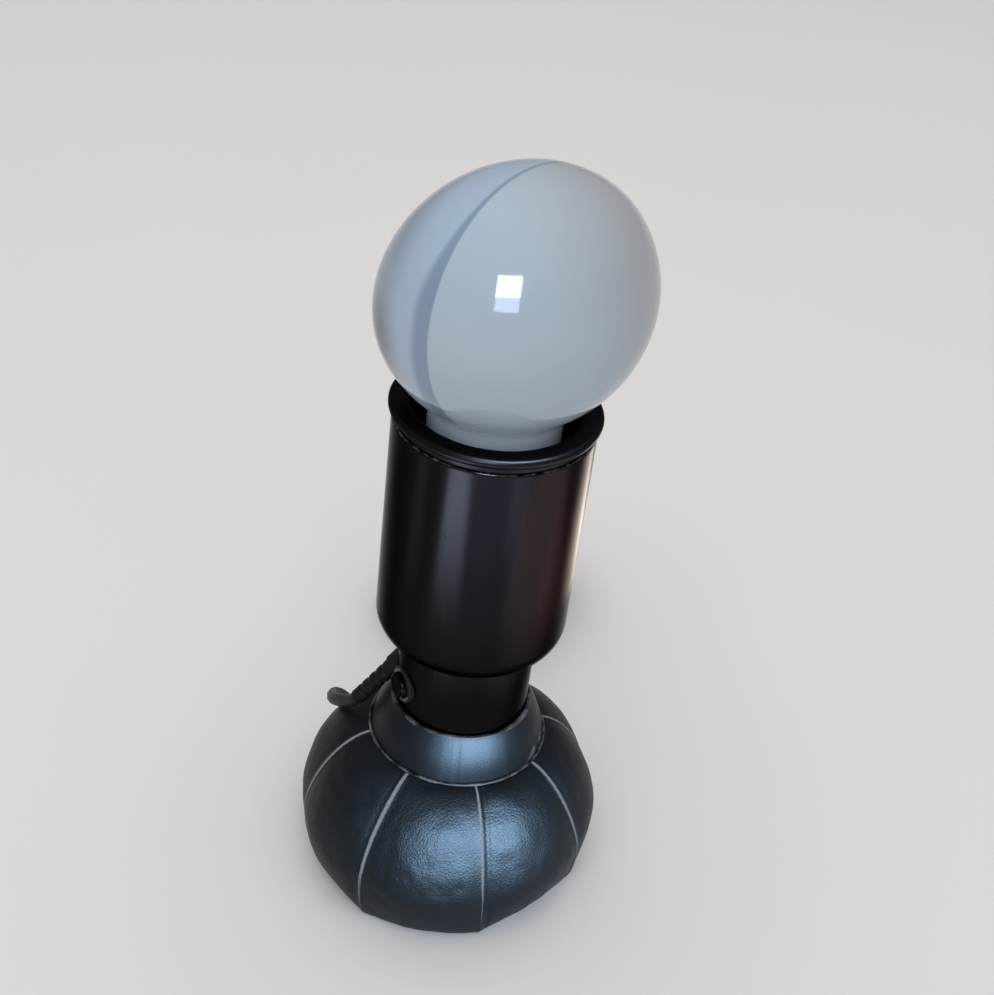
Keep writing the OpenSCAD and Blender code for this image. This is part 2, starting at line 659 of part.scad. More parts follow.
// Share of the way out within a layer, and the layer that a turn lies in
function coil_r(t) = let (k = floor(t / coil_turns), s = t / coil_turns - k)
    coil_in_r + (coil_out_r - coil_in_r) * (k % 2 == 0 ? 1 - s : s);
function coil_layer(t) = [for (k = 1, s = 0; k <= coil_layers; k = k + 1,
    s = s + smooth((t - (k - 1) * coil_turns + 0.25) / 0.5)) s][coil_layers - 1];
function coil_at(t) = let (a = coil_from + 360 * t, r = coil_r(t)) [coil_centre[0] + r * cos(a),
    coil_centre[1] + r * sin(a), cord_lie_z + coil_step * coil_layer(t)];
coil_total = coil_layers * coil_turns;
coil_count = floor(coil_total * coil_rings);
coil_loops = [for (i = [0:coil_count]) coil_at(coil_total * i / coil_count * 0.99999)];
coil_start = [coil_loops[0][0] - cord_d, coil_loops[0][1], cord_lie_z];
coil_end_turn = coil_from + 360 * coil_total;
coil_way = [-sin(coil_end_turn), cos(coil_end_turn), 0];
coil_end = coil_loops[coil_count] + cord_d * coil_way;
coil_path = concat([coil_start], coil_loops, [coil_end]);
relief_end = gland_out_l + relief_l;
lead_route = concat([gland_at(-gland_in_l), gland_at(relief_end - relief_l / 2), gland_at(relief_end)],
    cord_route, [coil_start]);
plug_x = 26;
plug_y = 115;
plug_z = 28.2;
tail_route = [coil_end, coil_end + 1.2 * coil_way, [11.8, 92.3, 19.1], [17.8, 95.0, 21.0], [22.4, 99.6, 23.7],
    [25.2, 105.4, 26.7], [25.9, 109.5, 27.9], [plug_x, plug_y - cord_d / 2, plug_z],
    [plug_x, plug_y - fit_gap, plug_z]];
cord_sides = 10;
loop_apart = 16;
curl_apart = 5;
echo(coil_gap = least_gap(coil_loops, loop_apart, cord_d));
echo(spring_gap = least_gap(spring_path, curl_apart, 2 * spring_wire_r));
echo(cord_length = path_length(lead_route) + path_length(coil_path) + path_length(tail_route));
module cord_lead() {
    color(cord_black) tube(lead_route, cord_d / 2, cord_sides);
}
module cord_coil() {
    color(cord_black) tube(coil_path, cord_d / 2, 6);
}
module cord_tail() {
    color(cord_black) tube(tail_route, cord_d / 2, cord_sides);
}
tie_w = 8;
tie_t = 0.6;
module cord_tie() {
    low = cord_lie_z - cord_d / 2 - 0.05;
    high = cord_lie_z + (coil_layers - 1) * coil_step + cord_d / 2 + 0.1;
    near = coil_in_r - cord_d / 2 - 0.1;
    far = coil_out_r + cord_d / 2 + 0.3;
    color("dimgray") translate([coil_centre[0], coil_centre[1], 0]) rotate([0, 0, 180])
        translate([near - tie_t, tie_w / 2, low - tie_t]) rotate([90, 0, 0])
            linear_extrude(tie_w) difference() {
                square([far - near + 2 * tie_t, high - low + 2 * tie_t]);
                translate([tie_t, tie_t]) square([far - near, high - low]);
            }
}

// Plug with two round pins
plug_w = 35;
plug_t = 13.6;
plug_rear_w = 14;
plug_l = 34;
pin_gap = 19;
pin_root_r = pin_r - 0.5;
pin_root_l = 9.5;
module plug_outline() {
    polygon([[-plug_rear_w / 2, 0], [plug_rear_w / 2, 0], [plug_w / 2, 0.6 * plug_l], [plug_w / 2, plug_l],
        [-plug_w / 2, plug_l], [-plug_w / 2, 0.6 * plug_l]]);
}
module plug_body() {
    color(cord_black) translate([plug_x, plug_y, plug_z - plug_t / 2]) difference() {
        linear_extrude(plug_t) plug_outline();
        for (s = [-1, 1]) translate([s * pin_gap / 2, plug_l - pin_root_l - free_gap, plug_t / 2])
            rotate([-90, 0, 0]) cylinder(r = pin_root_r + fit_gap, h = pin_root_l + 1, $fn = 48);
    }
}
// Each pin has a thinner root in the plug and a shoulder at its face
module plug_pins() {
    color(brass_yellow) translate([plug_x, plug_y + plug_l + fit_gap, plug_z])
        for (s = [-1, 1]) translate([s * pin_gap / 2, 0, 0]) rotate([-90, 0, 0]) union() {
            cylinder(r = pin_r, h = pin_l, $fn = 48);
            translate([0, 0, -pin_root_l]) cylinder(r = pin_root_r, h = pin_root_l + 1, $fn = 48);
        }
}

for (i = [1:8]) bag_panel(i);
base_disc();
shot_fill();
shot_ball();
mouth_welt();
collar();
foot_flange();
flange_screws();
neck_tube();
neck_bridge();
cup();
top_ring();
nipple();
nipple_nut();
nipple_washer();
holder_base();
holder_shell();
holder_core();
screw_shell();
centre_contact();
terminal_screws();
bulb_glass();
bulb_cap();
cap_insulator();
cap_contact();
bulb_mount();
bulb_leads();
filament();
switch_body();
switch_bezel();
switch_button();
switch_spring();
cord_gland();
strain_relief();
lead(live_path);  // lead_live
lead(neutral_path);  // lead_neutral
lead(switched_path);  // lead_switched
cord_lead();
cord_coil();
cord_tail();
cord_tie();
plug_body();
plug_pins();
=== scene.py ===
import math

import bmesh
import bpy
from mathutils import Matrix, Vector, noise


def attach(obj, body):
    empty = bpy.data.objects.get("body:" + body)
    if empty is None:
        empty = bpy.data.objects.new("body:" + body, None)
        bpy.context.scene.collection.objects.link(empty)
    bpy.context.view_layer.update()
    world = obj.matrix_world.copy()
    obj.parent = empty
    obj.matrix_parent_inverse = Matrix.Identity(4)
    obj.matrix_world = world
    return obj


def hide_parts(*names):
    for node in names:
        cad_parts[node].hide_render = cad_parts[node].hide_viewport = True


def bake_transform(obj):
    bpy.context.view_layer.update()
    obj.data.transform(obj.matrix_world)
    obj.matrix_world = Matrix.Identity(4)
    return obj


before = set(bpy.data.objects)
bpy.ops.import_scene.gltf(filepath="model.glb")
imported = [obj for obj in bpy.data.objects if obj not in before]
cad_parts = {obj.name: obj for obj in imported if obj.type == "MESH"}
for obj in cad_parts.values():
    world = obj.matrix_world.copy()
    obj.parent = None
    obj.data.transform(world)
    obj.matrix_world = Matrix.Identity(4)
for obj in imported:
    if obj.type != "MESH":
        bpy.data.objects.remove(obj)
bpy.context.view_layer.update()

scene = bpy.context.scene
scene.view_settings.view_transform = "Standard"

# Sizes are in millimetres and become metres where a piece gets its place
mm = 0.001
perMetre = 1000
metres = Matrix.Scale(mm, 4)
stem = {"lean": 3.0, "pivotZ": 14.0}


def leaned(share):
    pivot = Vector((0, 0, stem["pivotZ"]))
    turn = Matrix.Rotation(math.radians(stem["lean"] * share), 4, "Y")
    return Matrix.Translation(pivot) @ turn @ Matrix.Translation(-pivot)


onStem = leaned(1)  # upright stem to the leaning one


def smoothStep(x):
    x = min(1.0, max(0.0, x))
    return x * x * (3 - 2 * x)


def bump(x, width):
    return math.exp(-((x / width) ** 2))


# Camera, at the photograph's height and roll

view = {"target": (10.324, 0, 144.234), "distance": 455.709, "elevation": 34.612, "roll": 3.81, "lens": 55.202,
        "sensor": 36, "nearest": 0.01}


def makeCamera():
    rise, roll = math.radians(view["elevation"]), math.radians(view["roll"])
    level = Vector((1, 0, 0))
    upright = Vector((0, math.sin(rise), math.cos(rise)))
    back = Vector((0, -math.cos(rise), math.sin(rise)))
    right = level * math.cos(roll) + upright * math.sin(roll)
    up = upright * math.cos(roll) - level * math.sin(roll)
    place = Matrix((right, up, back)).transposed().to_4x4()
    place.translation = (Vector(view["target"]) + back * view["distance"]) * mm
    data = bpy.data.cameras.new("camera")
    data.lens = view["lens"]
    data.sensor_width = view["sensor"]
    data.clip_start = view["nearest"]
    camera = bpy.data.objects.new("camera", data)
    camera.matrix_world = place
    scene.collection.objects.link(camera)
    scene.camera = camera


makeCamera()
print("camera set")


# Materials

def hexColour(code):
    parts = [int(code[i:i + 2], 16) / 255 for i in (1, 3, 5)]
    return tuple(c / 12.92 if c <= 0.04045 else ((c + 0.055) / 1.055) ** 2.4 for c in parts) + (1.0,)


def addNode(mat, kind, settings, links):
    node = mat.node_tree.nodes.new("ShaderNode" + kind)
    for key, value in settings.items():
        if isinstance(key, str) and hasattr(node, key):
            setattr(node, key, value)
        else:
            node.inputs[key].default_value = value
    for key, source in links.items():
        mat.node_tree.links.new(source, node.inputs[key])
    return node


def newMaterial(name, settings):
    mat = bpy.data.materials.new(name)
    mat.use_nodes = True
    shader = mat.node_tree.nodes["Principled BSDF"]
    for key, value in settings.items():
        shader.inputs[key].default_value = value
    return mat, shader


def joinTo(mat, shader, links):
    for key, source in links.items():
        mat.node_tree.links.new(source, shader.inputs[key])


def ownSpace(mat):
    return addNode(mat, "TexCoord", {}, {}).outputs["Object"]


def stretched(mat, where, settings):
    return addNode(mat, "Mapping", settings, {"Vector": where}).outputs[0]


def patches(mat, where, size, detail, bend=0.0):
    # Soft noise, its patches about the given size
    settings = {"Scale": perMetre / size, "Detail": detail, "Distortion": bend}
    return addNode(mat, "TexNoise", settings, {"Vector": where}).outputs["Fac"]


def vertexMark(mat, name):
    return addNode(mat, "Attribute", {"attribute_name": name}, {}).outputs["Fac"]


def remap(mat, value, start=0.0, end=1.0, low=0.0, high=1.0, way="LINEAR"):
    settings = {"interpolation_type": way, "From Min": start, "From Max": end, "To Min": low, "To Max": high}
    return addNode(mat, "MapRange", settings, {"Value": value}).outputs[0]


def scaledSum(mat, value, times, plus, clamp=False):
    # value * times + plus, where plus is a number or a node's output
    settings, links = {"operation": "MULTIPLY_ADD", "use_clamp": clamp, 1: times}, {0: value}
    (settings if isinstance(plus, float) else links)[2] = plus
    return addNode(mat, "Math", settings, links).outputs[0]


def mixTones(mat, share, first, second):
    # From the first tone to the second, each a colour code or a node's output
    settings, links = {"data_type": "RGBA"}, {0: share}
    for key, tone in ((6, first), (7, second)):
        if isinstance(tone, str):
            settings[key] = hexColour(tone)
        else:
            links[key] = tone
    return addNode(mat, "Mix", settings, links).outputs[2]


def raised(mat, height, strength, rise):
    settings = {"Strength": strength, "Distance": rise * mm}
    return addNode(mat, "Bump", settings, {"Height": height}).outputs[0]


hide = {"black": "#0d0e10", "deep": "#121316", "rubbedAndGlint": "#82868a", "sheen": "#bcd8ea", "shine": 0.14,
        "ior": 1.48, "cloud": 14.0, "grain": 1.15, "grainTop": 0.25, "grainShare": 0.35, "crease": 3.2,
        "creaseLong": 0.28, "creaseBend": 0.6, "fibre": 0.9, "ragged": (0.55, -0.27), "wornFrom": 0.34,
        "wornDull": 0.3}


def cowhide(name, rubbedAndGlint, grainHeight, roughness):
    # Pigmented cowhide, plated to a fine pebble: a broad soft sheen, pale fibre where it is rubbed, and the
    # same pale tone as a painted highlight where the mouth welt marks one
    mat, shader = newMaterial(name, {"IOR": hide["ior"], "Specular IOR Level": hide["shine"],
                                     "Specular Tint": hexColour(hide["sheen"])})
    where = ownSpace(mat)
    cloud = patches(mat, where, hide["cloud"], 5)
    pebble = addNode(mat, "TexVoronoi",
                     {"feature": "DISTANCE_TO_EDGE", "Scale": perMetre / hide["grain"]}, {"Vector": where})
    pebbleTop = remap(mat, pebble.outputs["Distance"], 0.0, hide["grainTop"])
    longWay = stretched(mat, where, {"Scale": (1, 1, hide["creaseLong"])})
    height = scaledSum(mat, pebbleTop, hide["grainShare"],
                       patches(mat, longWay, hide["crease"], 3, hide["creaseBend"]))
    fibre = scaledSum(mat, patches(mat, where, hide["fibre"], 4), *hide["ragged"])
    wornAndGlint = scaledSum(mat, fibre, 1.0, vertexMark(mat, "wearAndGlint"))
    mask = remap(mat, wornAndGlint, hide["wornFrom"], 1.0, 0.0, rubbedAndGlint)
    colour = mixTones(mat, mask, mixTones(mat, cloud, hide["black"], hide["deep"]), hide["rubbedAndGlint"])
    gloss = remap(mat, cloud, 0.0, 1.0, *roughness)
    joinTo(mat, shader, {"Base Color": colour, "Normal": raised(mat, height, 1.0, grainHeight),
                         "Roughness": scaledSum(mat, mask, hide["wornDull"], gloss, True)})
    return mat


coat = {"warm": "#1a1718", "bare": "#8f8c89", "edge": "#b6b6b6", "cloud": 22, "scuff": 0.8,
        "scuffTilt": (0.5, 0.2, 0.0), "scuffLong": 0.05, "scuffRange": (0.66, 0.78, 0.0, 0.16), "chip": 2.4,
        "chipShare": 0.7, "wornRange": (0.85, 1.2, 0.0), "wornMetal": -0.8, "wave": 0.25}


def lacquer(name, black, roughness, bare, ripple, rise):
    # Thin black lacquer on spun aluminium: a dark soft mirror, calm to its edges, its rims worn to dull oxide;
    # the same pale bare tone also paints a highlight on the push button's lower rim
    mat, shader = newMaterial(name, {"Metallic": 1.0, "Specular Tint": hexColour(coat["edge"])})
    where = ownSpace(mat)
    cloud = patches(mat, where, coat["cloud"], 4)
    hair = stretched(mat, where, {"Rotation": coat["scuffTilt"], "Scale": (1, 1, coat["scuffLong"])})
    scuff = remap(mat, patches(mat, hair, coat["scuff"], 2), *coat["scuffRange"])
    wornAndGlint = scaledSum(mat, patches(mat, where, coat["chip"], 5), coat["chipShare"], vertexMark(mat, "wearAndGlint"))
    mask = remap(mat, wornAndGlint, *coat["wornRange"], bare)
    colour = mixTones(mat, mask, mixTones(mat, cloud, black, coat["warm"]), coat["bare"])
    gloss = remap(mat, cloud, 0.0, 1.0, *roughness)
    waves = patches(mat, where, ripple, 2)
    joinTo(mat, shader, {"Base Color": colour, "Roughness": scaledSum(mat, gloss, 1.0, scuff),
                         "Normal": raised(mat, waves, coat["wave"], rise),
                         "Metallic": scaledSum(mat, mask, coat["wornMetal"], 1.0)})
    return mat


opal = {"bowl": "#9aa8b3", "bowlGrey": "#999da1", "band": "#76879a", "dome": "#94a4b4", "domeEdge": "#40444a",
        "neck": "#c6d6e6", "neckDeep": "#b8c8d8", "cloud": 34, "edgeRange": (-0.25, 0.25),
        "bandRange": (3.4, 7.0), "neckRange": (0.0, 0.15)}


def opalGlass():
    # Blown glass, coated inside: milky bowl, smoother window dome beyond the coating's edge, bluish bare neck.
    # Painted shade: a dark band beside the coating's edge, the dome darker toward its rim, the bowl greyer
    # toward its upper right; painted light: the neck's near-white tone
    mat, shader = newMaterial("opalBulbGlass", {"IOR": 1.5, "Roughness": 0.07, "Subsurface Weight": 0.7,
                                                "Subsurface Scale": 0.03, "Subsurface Radius": (1, 1, 1)})
    atEdge = remap(mat, vertexMark(mat, "past"), *opal["edgeRange"])
    # The darker band just past the coating's edge is painted shade
    toDome = remap(mat, vertexMark(mat, "band"), *opal["bandRange"], way="SMOOTHSTEP")
    toNeck = remap(mat, vertexMark(mat, "neck"), *opal["neckRange"])
    # The bowl's greyer tone toward its upper right is painted shading, not a change in the glass
    bowl = mixTones(mat, vertexMark(mat, "grey"), opal["bowl"], opal["bowlGrey"])
    # The dome's dark edge tone is painted shade, deepest toward its rim and low down
    dome = mixTones(mat, vertexMark(mat, "rim"), opal["dome"], opal["domeEdge"])
    globe = mixTones(mat, atEdge, bowl, mixTones(mat, toDome, opal["band"], dome))
    # The glass neck's near-white tone is painted light, lifting it out of the shade under the globe
    neckPaintedLight = mixTones(mat, patches(mat, ownSpace(mat), opal["cloud"], 2), opal["neck"], opal["neckDeep"])
    joinTo(mat, shader, {"Base Color": mixTones(mat, toNeck, globe, neckPaintedLight)})
    return mat


gritSize = 0.6


def plainFinish(name, light, dark, metallic, roughness, mottle, relief, shine=0.5):
    # A plain made surface: two close tones in patches of a given size, and a fine texture
    mat, shader = newMaterial(name, {"Metallic": metallic, "Specular IOR Level": shine})
    where = ownSpace(mat)
    cloud = patches(mat, where, mottle, 4)
    gloss = remap(mat, cloud, 0.0, 1.0, *roughness)
    grit = raised(mat, patches(mat, where, gritSize, 3), 0.5, relief)
    joinTo(mat, shader, {"Base Color": mixTones(mat, cloud, dark, light), "Roughness": gloss, "Normal": grit})
    return mat


bagHide = cowhide("platedCowhide", 0.85, 0.11, (0.40, 0.50))
collarHide = cowhide("smoothCowhide", 0.8, 0.03, (0.39, 0.46))
cupLacquer = lacquer("glossEnamel", "#161618", (0.17, 0.24), 0.85, 3.5, 0.03)
ringLacquer = lacquer("satinEnamel", "#26282b", (0.3, 0.38), 0.35, 0.9, 0.08)
bulbGlass = opalGlass()
cordVinyl = plainFinish("cordVinyl", "#171718", "#101011", 0.0, (0.42, 0.55), 9, 0.02, 0.25)
rubber = plainFinish("mouldedRubber", "#141415", "#0d0d0e", 0.0, (0.5, 0.62), 6, 0.03, 0.15)
blackPlastic = plainFinish("mouldedPlastic", "#1d1c1d", "#141314", 0.0, (0.28, 0.4), 8, 0.02)
phenolic = plainFinish("phenolicMoulding", "#30231f", "#1f1714", 0.0, (0.25, 0.38), 5, 0.01)
steel = plainFinish("zincSteel", "#b9bbbd", "#96999c", 1.0, (0.28, 0.42), 3, 0.01)
aluminium = plainFinish("millAluminium", "#c6c8ca", "#a9abad", 1.0, (0.3, 0.45), 5, 0.01)
brass = plainFinish("drawnBrass", "#d2ad63", "#b28b45", 1.0, (0.22, 0.36), 4, 0.008)
nickel = plainFinish("nickelBrass", "#cfcac0", "#b3ada2", 1.0, (0.18, 0.3), 4, 0.006)
porcelain = plainFinish("bisquePorcelain", "#ddd8cc", "#cbc5b7", 0.0, (0.5, 0.65), 6, 0.02)
leadShot = plainFinish("leadShot", "#74777b", "#55585c", 0.6, (0.45, 0.6), 2.2, 0.3)
brownLead = plainFinish("brownInsulation", "#5d3d28", "#4a2f1f", 0.0, (0.4, 0.5), 4, 0.01)
blueLead = plainFinish("blueInsulation", "#2c4f8c", "#223f73", 0.0, (0.4, 0.5), 4, 0.01)
clearStem = plainFinish("pressedGlass", "#cfd4d3", "#bcc3c3", 0.0, (0.05, 0.1), 6, 0.002)
blackGlass = plainFinish("vitreousBlack", "#1b1a1c", "#111012", 0.0, (0.12, 0.2), 4, 0.004)
print("materials made")

cadFinish = {
    bagHide: ("base_disc",), leadShot: ("shot_fill", "shot_ball"), aluminium: ("foot_flange", "neck_bridge"),
    steel: ("flange_screws", "nipple", "nipple_nut", "nipple_washer", "terminal_screws", "switch_spring",
            "cap_contact", "bulb_leads", "filament"),
    phenolic: ("holder_base", "holder_shell", "switch_body"), porcelain: ("holder_core",),
    brass: ("screw_shell", "centre_contact", "bulb_cap"), blackGlass: ("cap_insulator",),
    clearStem: ("bulb_mount",), rubber: ("cord_gland",), brownLead: ("lead_live", "lead_switched"),
    blueLead: ("lead_neutral",),
}
for finish, names in cadFinish.items():
    for name in names:
        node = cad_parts[name]
        node.data.materials.clear()
        node.data.materials.append(finish)
print("solids given their finishes")


# Piece makers

weldGap = 1e-4


def spinRound(bm, steps):
    bmesh.ops.spin(bm, geom=bm.verts[:] + bm.edges[:], cent=(0, 0, 0), axis=(0, 0, 1), angle=math.tau,
                   steps=steps, use_merge=True)


def weld(bm):
    bmesh.ops.remove_doubles(bm, verts=bm.verts, dist=weldGap)


def moveCorners(bm, geom, vec):
    bmesh.ops.translate(bm, vec=vec, verts=[g for g in geom if isinstance(g, bmesh.types.BMVert)])


def roundEdges(bm, edges, offset, segments, clamp):
    bmesh.ops.bevel(bm, geom=edges, offset=offset, affect="EDGES", segments=segments, profile=0.5,
                    material=-1, clamp_overlap=clamp)


def addBlock(bm, size, centre, edge):
    block = bmesh.ops.create_cube(bm, size=1)["verts"]
    bmesh.ops.scale(bm, vec=size, verts=block)
    bmesh.ops.translate(bm, vec=centre, verts=block)
    roundEdges(bm, list({e for v in block for e in v.link_edges}), edge, 2, False)


def turnFrom(a, middle):
    # Degrees away from a middle direction, either way round
    return (math.degrees(a) - middle + 180) % 360 - 180


def spunGrid(rows, steps):
    # A tube of rows and steps, to be given its shape point by point
    bm = bmesh.new()
    line = [bm.verts.new((1, 0, row)) for row in range(rows)]
    for low, high in zip(line, line[1:]):
        bm.edges.new((low, high))
    spinRound(bm, steps)
    return bm


def gridPlace(vert, steps):
    turn = math.atan2(vert.co.y, vert.co.x) / math.tau
    return round(vert.co.z), round(turn * steps) % steps


def eachPlace(bm, steps):
    # Each point of the grid with its row, its turn and its direction
    for vert in bm.verts:
        row, step = gridPlace(vert, steps)
        a = math.tau * step / steps
        yield vert, row, a, Vector((math.cos(a), math.sin(a), 0))


def spunSection(section, steps):
    # A closed section of (radius, height) points, spun about Z
    bm = bmesh.new()
    loop = [bm.verts.new((r, 0, z)) for r, z in section]
    for a, b in zip(loop, loop[1:] + loop[:1]):
        bm.edges.new((a, b))
    spinRound(bm, steps)
    weld(bm)
    return bm


def arc(centre, radius, start, end, count):
    turns = [math.radians(start + (end - start) * i / count) for i in range(count + 1)]
    return [(centre[0] + radius * math.cos(a), centre[1] + radius * math.sin(a)) for a in turns]


def newPiece(name, bm, place, material, sharp=38):
    bmesh.ops.recalc_face_normals(bm, faces=bm.faces)
    bmesh.ops.transform(bm, matrix=metres @ place, verts=bm.verts)
    mesh = bpy.data.meshes.new(name)
    bm.to_mesh(mesh)
    bm.free()
    mesh.shade_smooth()
    mesh.set_sharp_from_angle(angle=math.radians(sharp))
    mesh.materials.append(material)
    piece = bpy.data.objects.new(name, mesh)
    scene.collection.objects.link(piece)
    return piece


def settle(piece, body, slot, *nodes):
    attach(piece, body)
    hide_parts(*nodes)
    return piece


# Cord: out of the neck, over the bag's shoulder, along the table to its coil and plug

cordSet = {
    "width": 4.6, "lieZ": 3.0, "sides": 12, "inRelief": 2.5, "layerRise": 0.5, "endOn": 1.2,
    "lastTurn": 0.99999,
    "route": ((-33.6, 3.2, 56.2), (-37.0, 6.6, 52.9), (-40.2, 12.0, 48.6), (-41.6, 18.8, 43.8),
              (-41.7, 26.0, 38.2), (-40.8, 32.9, 31.2), (-39.6, 39.2, 23.6), (-38.2, 44.6, 15.5),
              (-36.2, 50.0, 8.8), (-33.2, 56.0, 4.6), (-29.0, 64.0, 3.0), (-24.0, 73.5, 3.0),
              (-18.9, 82.5, 3.0), (-15.7, 86.8, 3.0), (-11.6, 90.0, 3.0), (-6.8, 92.0, 3.0)),
    "coilCentre": (3.0, 125.0), "coilInner": 19.6, "coilStep": 5.2, "coilTurns": 2.495, "coilLayers": 4,
    "coilFrom": 270.0, "perTurn": 24,
    "tail": ((11.8, 92.3, 19.1), (17.8, 95.0, 21.0), (22.4, 99.6, 23.7), (25.2, 105.4, 26.7),
             (25.9, 109.5, 27.9), (26.0, 112.7, 28.2), (26.0, 114.95, 28.2)),
}
gland = {"turn": 177.0, "neckR": 21.6, "z": 75.5, "drop": 56.0, "out": 1.5, "relief": 20.0, "rootR": 2.9,
         "tipR": 2.6}


def glandPoint(along):
    turn, drop = math.radians(gland["turn"]), math.radians(gland["drop"])
    r = gland["neckR"] + along * math.cos(drop)
    return onStem @ Vector((r * math.cos(turn), r * math.sin(turn), gland["z"] - along * math.sin(drop)))


def coilPoints():
    turns, layers = cordSet["coilTurns"], cordSet["coilLayers"]
    inner, step, climb = cordSet["coilInner"], cordSet["coilStep"], cordSet["layerRise"]
    outer = inner + turns * step
    total = turns * layers
    count = math.floor(total * cordSet["perTurn"])
    points = []
    for i in range(count + 1):
        t = total * i / count * cordSet["lastTurn"]
        layer = math.floor(t / turns)
        share = t / turns - layer
        r = inner + (outer - inner) * (1 - share if layer % 2 == 0 else share)
        lift = sum(smoothStep((t - k * turns + climb / 2) / climb) for k in range(1, layers))
        a = math.radians(cordSet["coilFrom"] + 360 * t)
        points.append(Vector((cordSet["coilCentre"][0] + r * math.cos(a),
                              cordSet["coilCentre"][1] + r * math.sin(a), cordSet["lieZ"] + step * lift)))
    away = math.radians(cordSet["coilFrom"] + 360 * total)
    first = points[0] + Vector((-cordSet["width"], 0, 0))
    onward = Vector((-math.sin(away), math.cos(away), 0))
    last = points[-1] + cordSet["width"] * onward
    return [first] + points + [last, last + cordSet["endOn"] * onward]


def runPath(name, points, width, sides):
    # A smooth run through the points: its centreline, and a round tube along it
    data = bpy.data.curves.new(name, "CURVE")
    data.dimensions = "3D"
    data.resolution_u = 4
    run = data.splines.new("BEZIER")
    run.bezier_points.add(len(points) - 1)
    for knot, point in zip(run.bezier_points, points):
        knot.co = point * mm
        knot.handle_left_type = knot.handle_right_type = "AUTO"
    shaper = bpy.data.objects.new(name + "Run", data)
    scene.collection.objects.link(shaper)
    bpy.context.view_layer.update()
    centre = shaper.to_mesh()
    line = [v.co.copy() for v in centre.vertices]
    shaper.to_mesh_clear()
    data.bevel_depth = width * mm / 2
    data.bevel_resolution = sides // 4
    data.use_fill_caps = True
    bpy.context.view_layer.update()
    mesh = bpy.data.meshes.new_from_object(shaper.evaluated_get(bpy.context.evaluated_depsgraph_get()))
    mesh.name = name
    bpy.data.objects.remove(shaper)
    bpy.data.curves.remove(data)
    return line, mesh


def makeCord():
    tip = gland["out"] + gland["relief"]
    points = [glandPoint(tip - cordSet["inRelief"]), glandPoint(tip)] + [Vector(p) for p in cordSet["route"]]
    points += coilPoints() + [Vector(p) for p in cordSet["tail"]]
    line, mesh = runPath("mainsCord", points, cordSet["width"], cordSet["sides"])
    mesh.shade_smooth()
    mesh.materials.clear()
    mesh.materials.append(cordVinyl)
    piece = bpy.data.objects.new("mainsCord", mesh)
    scene.collection.objects.link(piece)
    length = sum((b - a).length for a, b in zip(line, line[1:]))
    print("cord", round(length, 4), "m", len(line), "points", len(mesh.polygons), "faces")
    return piece, line, length


cord, cordLine, cordLength = makeCord()
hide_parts("cord_lead", "cord_coil", "cord_tail")


# Plug, pins and tie, on the coil

plugSet = {"x": 26.0, "y": 115.0, "z": 28.2, "wide": 35.0, "thick": 13.6, "rear": 14.0, "long": 34.0,
           "taper": 0.6, "edge": 2.6, "ribs": 4, "ribWide": 15, "ribGrow": 2.6, "ribLong": 1.5,
           "ribHigh": 1.0, "ribFrom": 8, "ribStep": 3.4, "ribSink": 0.15, "ribEdge": 0.3, "pinGap": 19.0,
           "pinR": 2.0, "pin": 19.05, "pinRoot": -9.0, "pinRound": 1.2, "pinShoulder": 1.4}
onPlug = Matrix.Translation((plugSet["x"], plugSet["y"], plugSet["z"]))


def makePlug():
    bm = bmesh.new()
    half, rear, long = plugSet["wide"] / 2, plugSet["rear"] / 2, plugSet["long"]
    waist = plugSet["taper"] * long
    outline = ((-rear, 0), (rear, 0), (half, waist), (half, long), (-half, long), (-half, waist))
    low = bm.faces.new([bm.verts.new((x, y, -plugSet["thick"] / 2)) for x, y in outline])
    moveCorners(bm, bmesh.ops.extrude_face_region(bm, geom=[low])["geom"], (0, 0, plugSet["thick"]))
    bmesh.ops.recalc_face_normals(bm, faces=bm.faces)
    roundEdges(bm, bm.edges[:], plugSet["edge"], 5, True)
    high = plugSet["thick"] / 2 - plugSet["ribSink"]
    for step in range(plugSet["ribs"]):  # finger ribs across both broad faces
        for side in (-1, 1):
            wide = plugSet["ribWide"] + plugSet["ribGrow"] * step
            at = (0, plugSet["ribFrom"] + plugSet["ribStep"] * step, side * high)
            addBlock(bm, (wide, plugSet["ribLong"], plugSet["ribHigh"]), at, plugSet["ribEdge"])
    return newPiece("plugBody", bm, onPlug, blackPlastic)


def makePins():
    r, end, tip, root = plugSet["pinR"], plugSet["pin"], plugSet["pinRound"], plugSet["pinRoot"]
    section = [(0, root), (r, root), (r, end - plugSet["pinShoulder"])]
    bm = spunSection(section + arc((r - tip, end - tip), tip, 0, 90, 5) + [(0, end)], 32)
    place = Matrix.Translation((-plugSet["pinGap"] / 2, plugSet["long"], 0))
    bmesh.ops.transform(bm, matrix=place @ Matrix.Rotation(math.radians(-90), 4, "X"), verts=bm.verts)
    twin = bmesh.ops.duplicate(bm, geom=bm.verts[:] + bm.edges[:] + bm.faces[:])["geom"]
    moveCorners(bm, twin, (plugSet["pinGap"], 0, 0))
    return newPiece("plugPins", bm, onPlug, nickel)


tieSet = {"wide": 8.0, "thick": 0.6, "corner": 1.6, "gapIn": 0.1, "gapOut": 0.3, "gapLow": 0.05,
          "gapHigh": 0.1, "tab": (9.0, 6.4, 0.7), "tabOff": 1, "tabUp": 0.2, "tabEdge": 0.25}


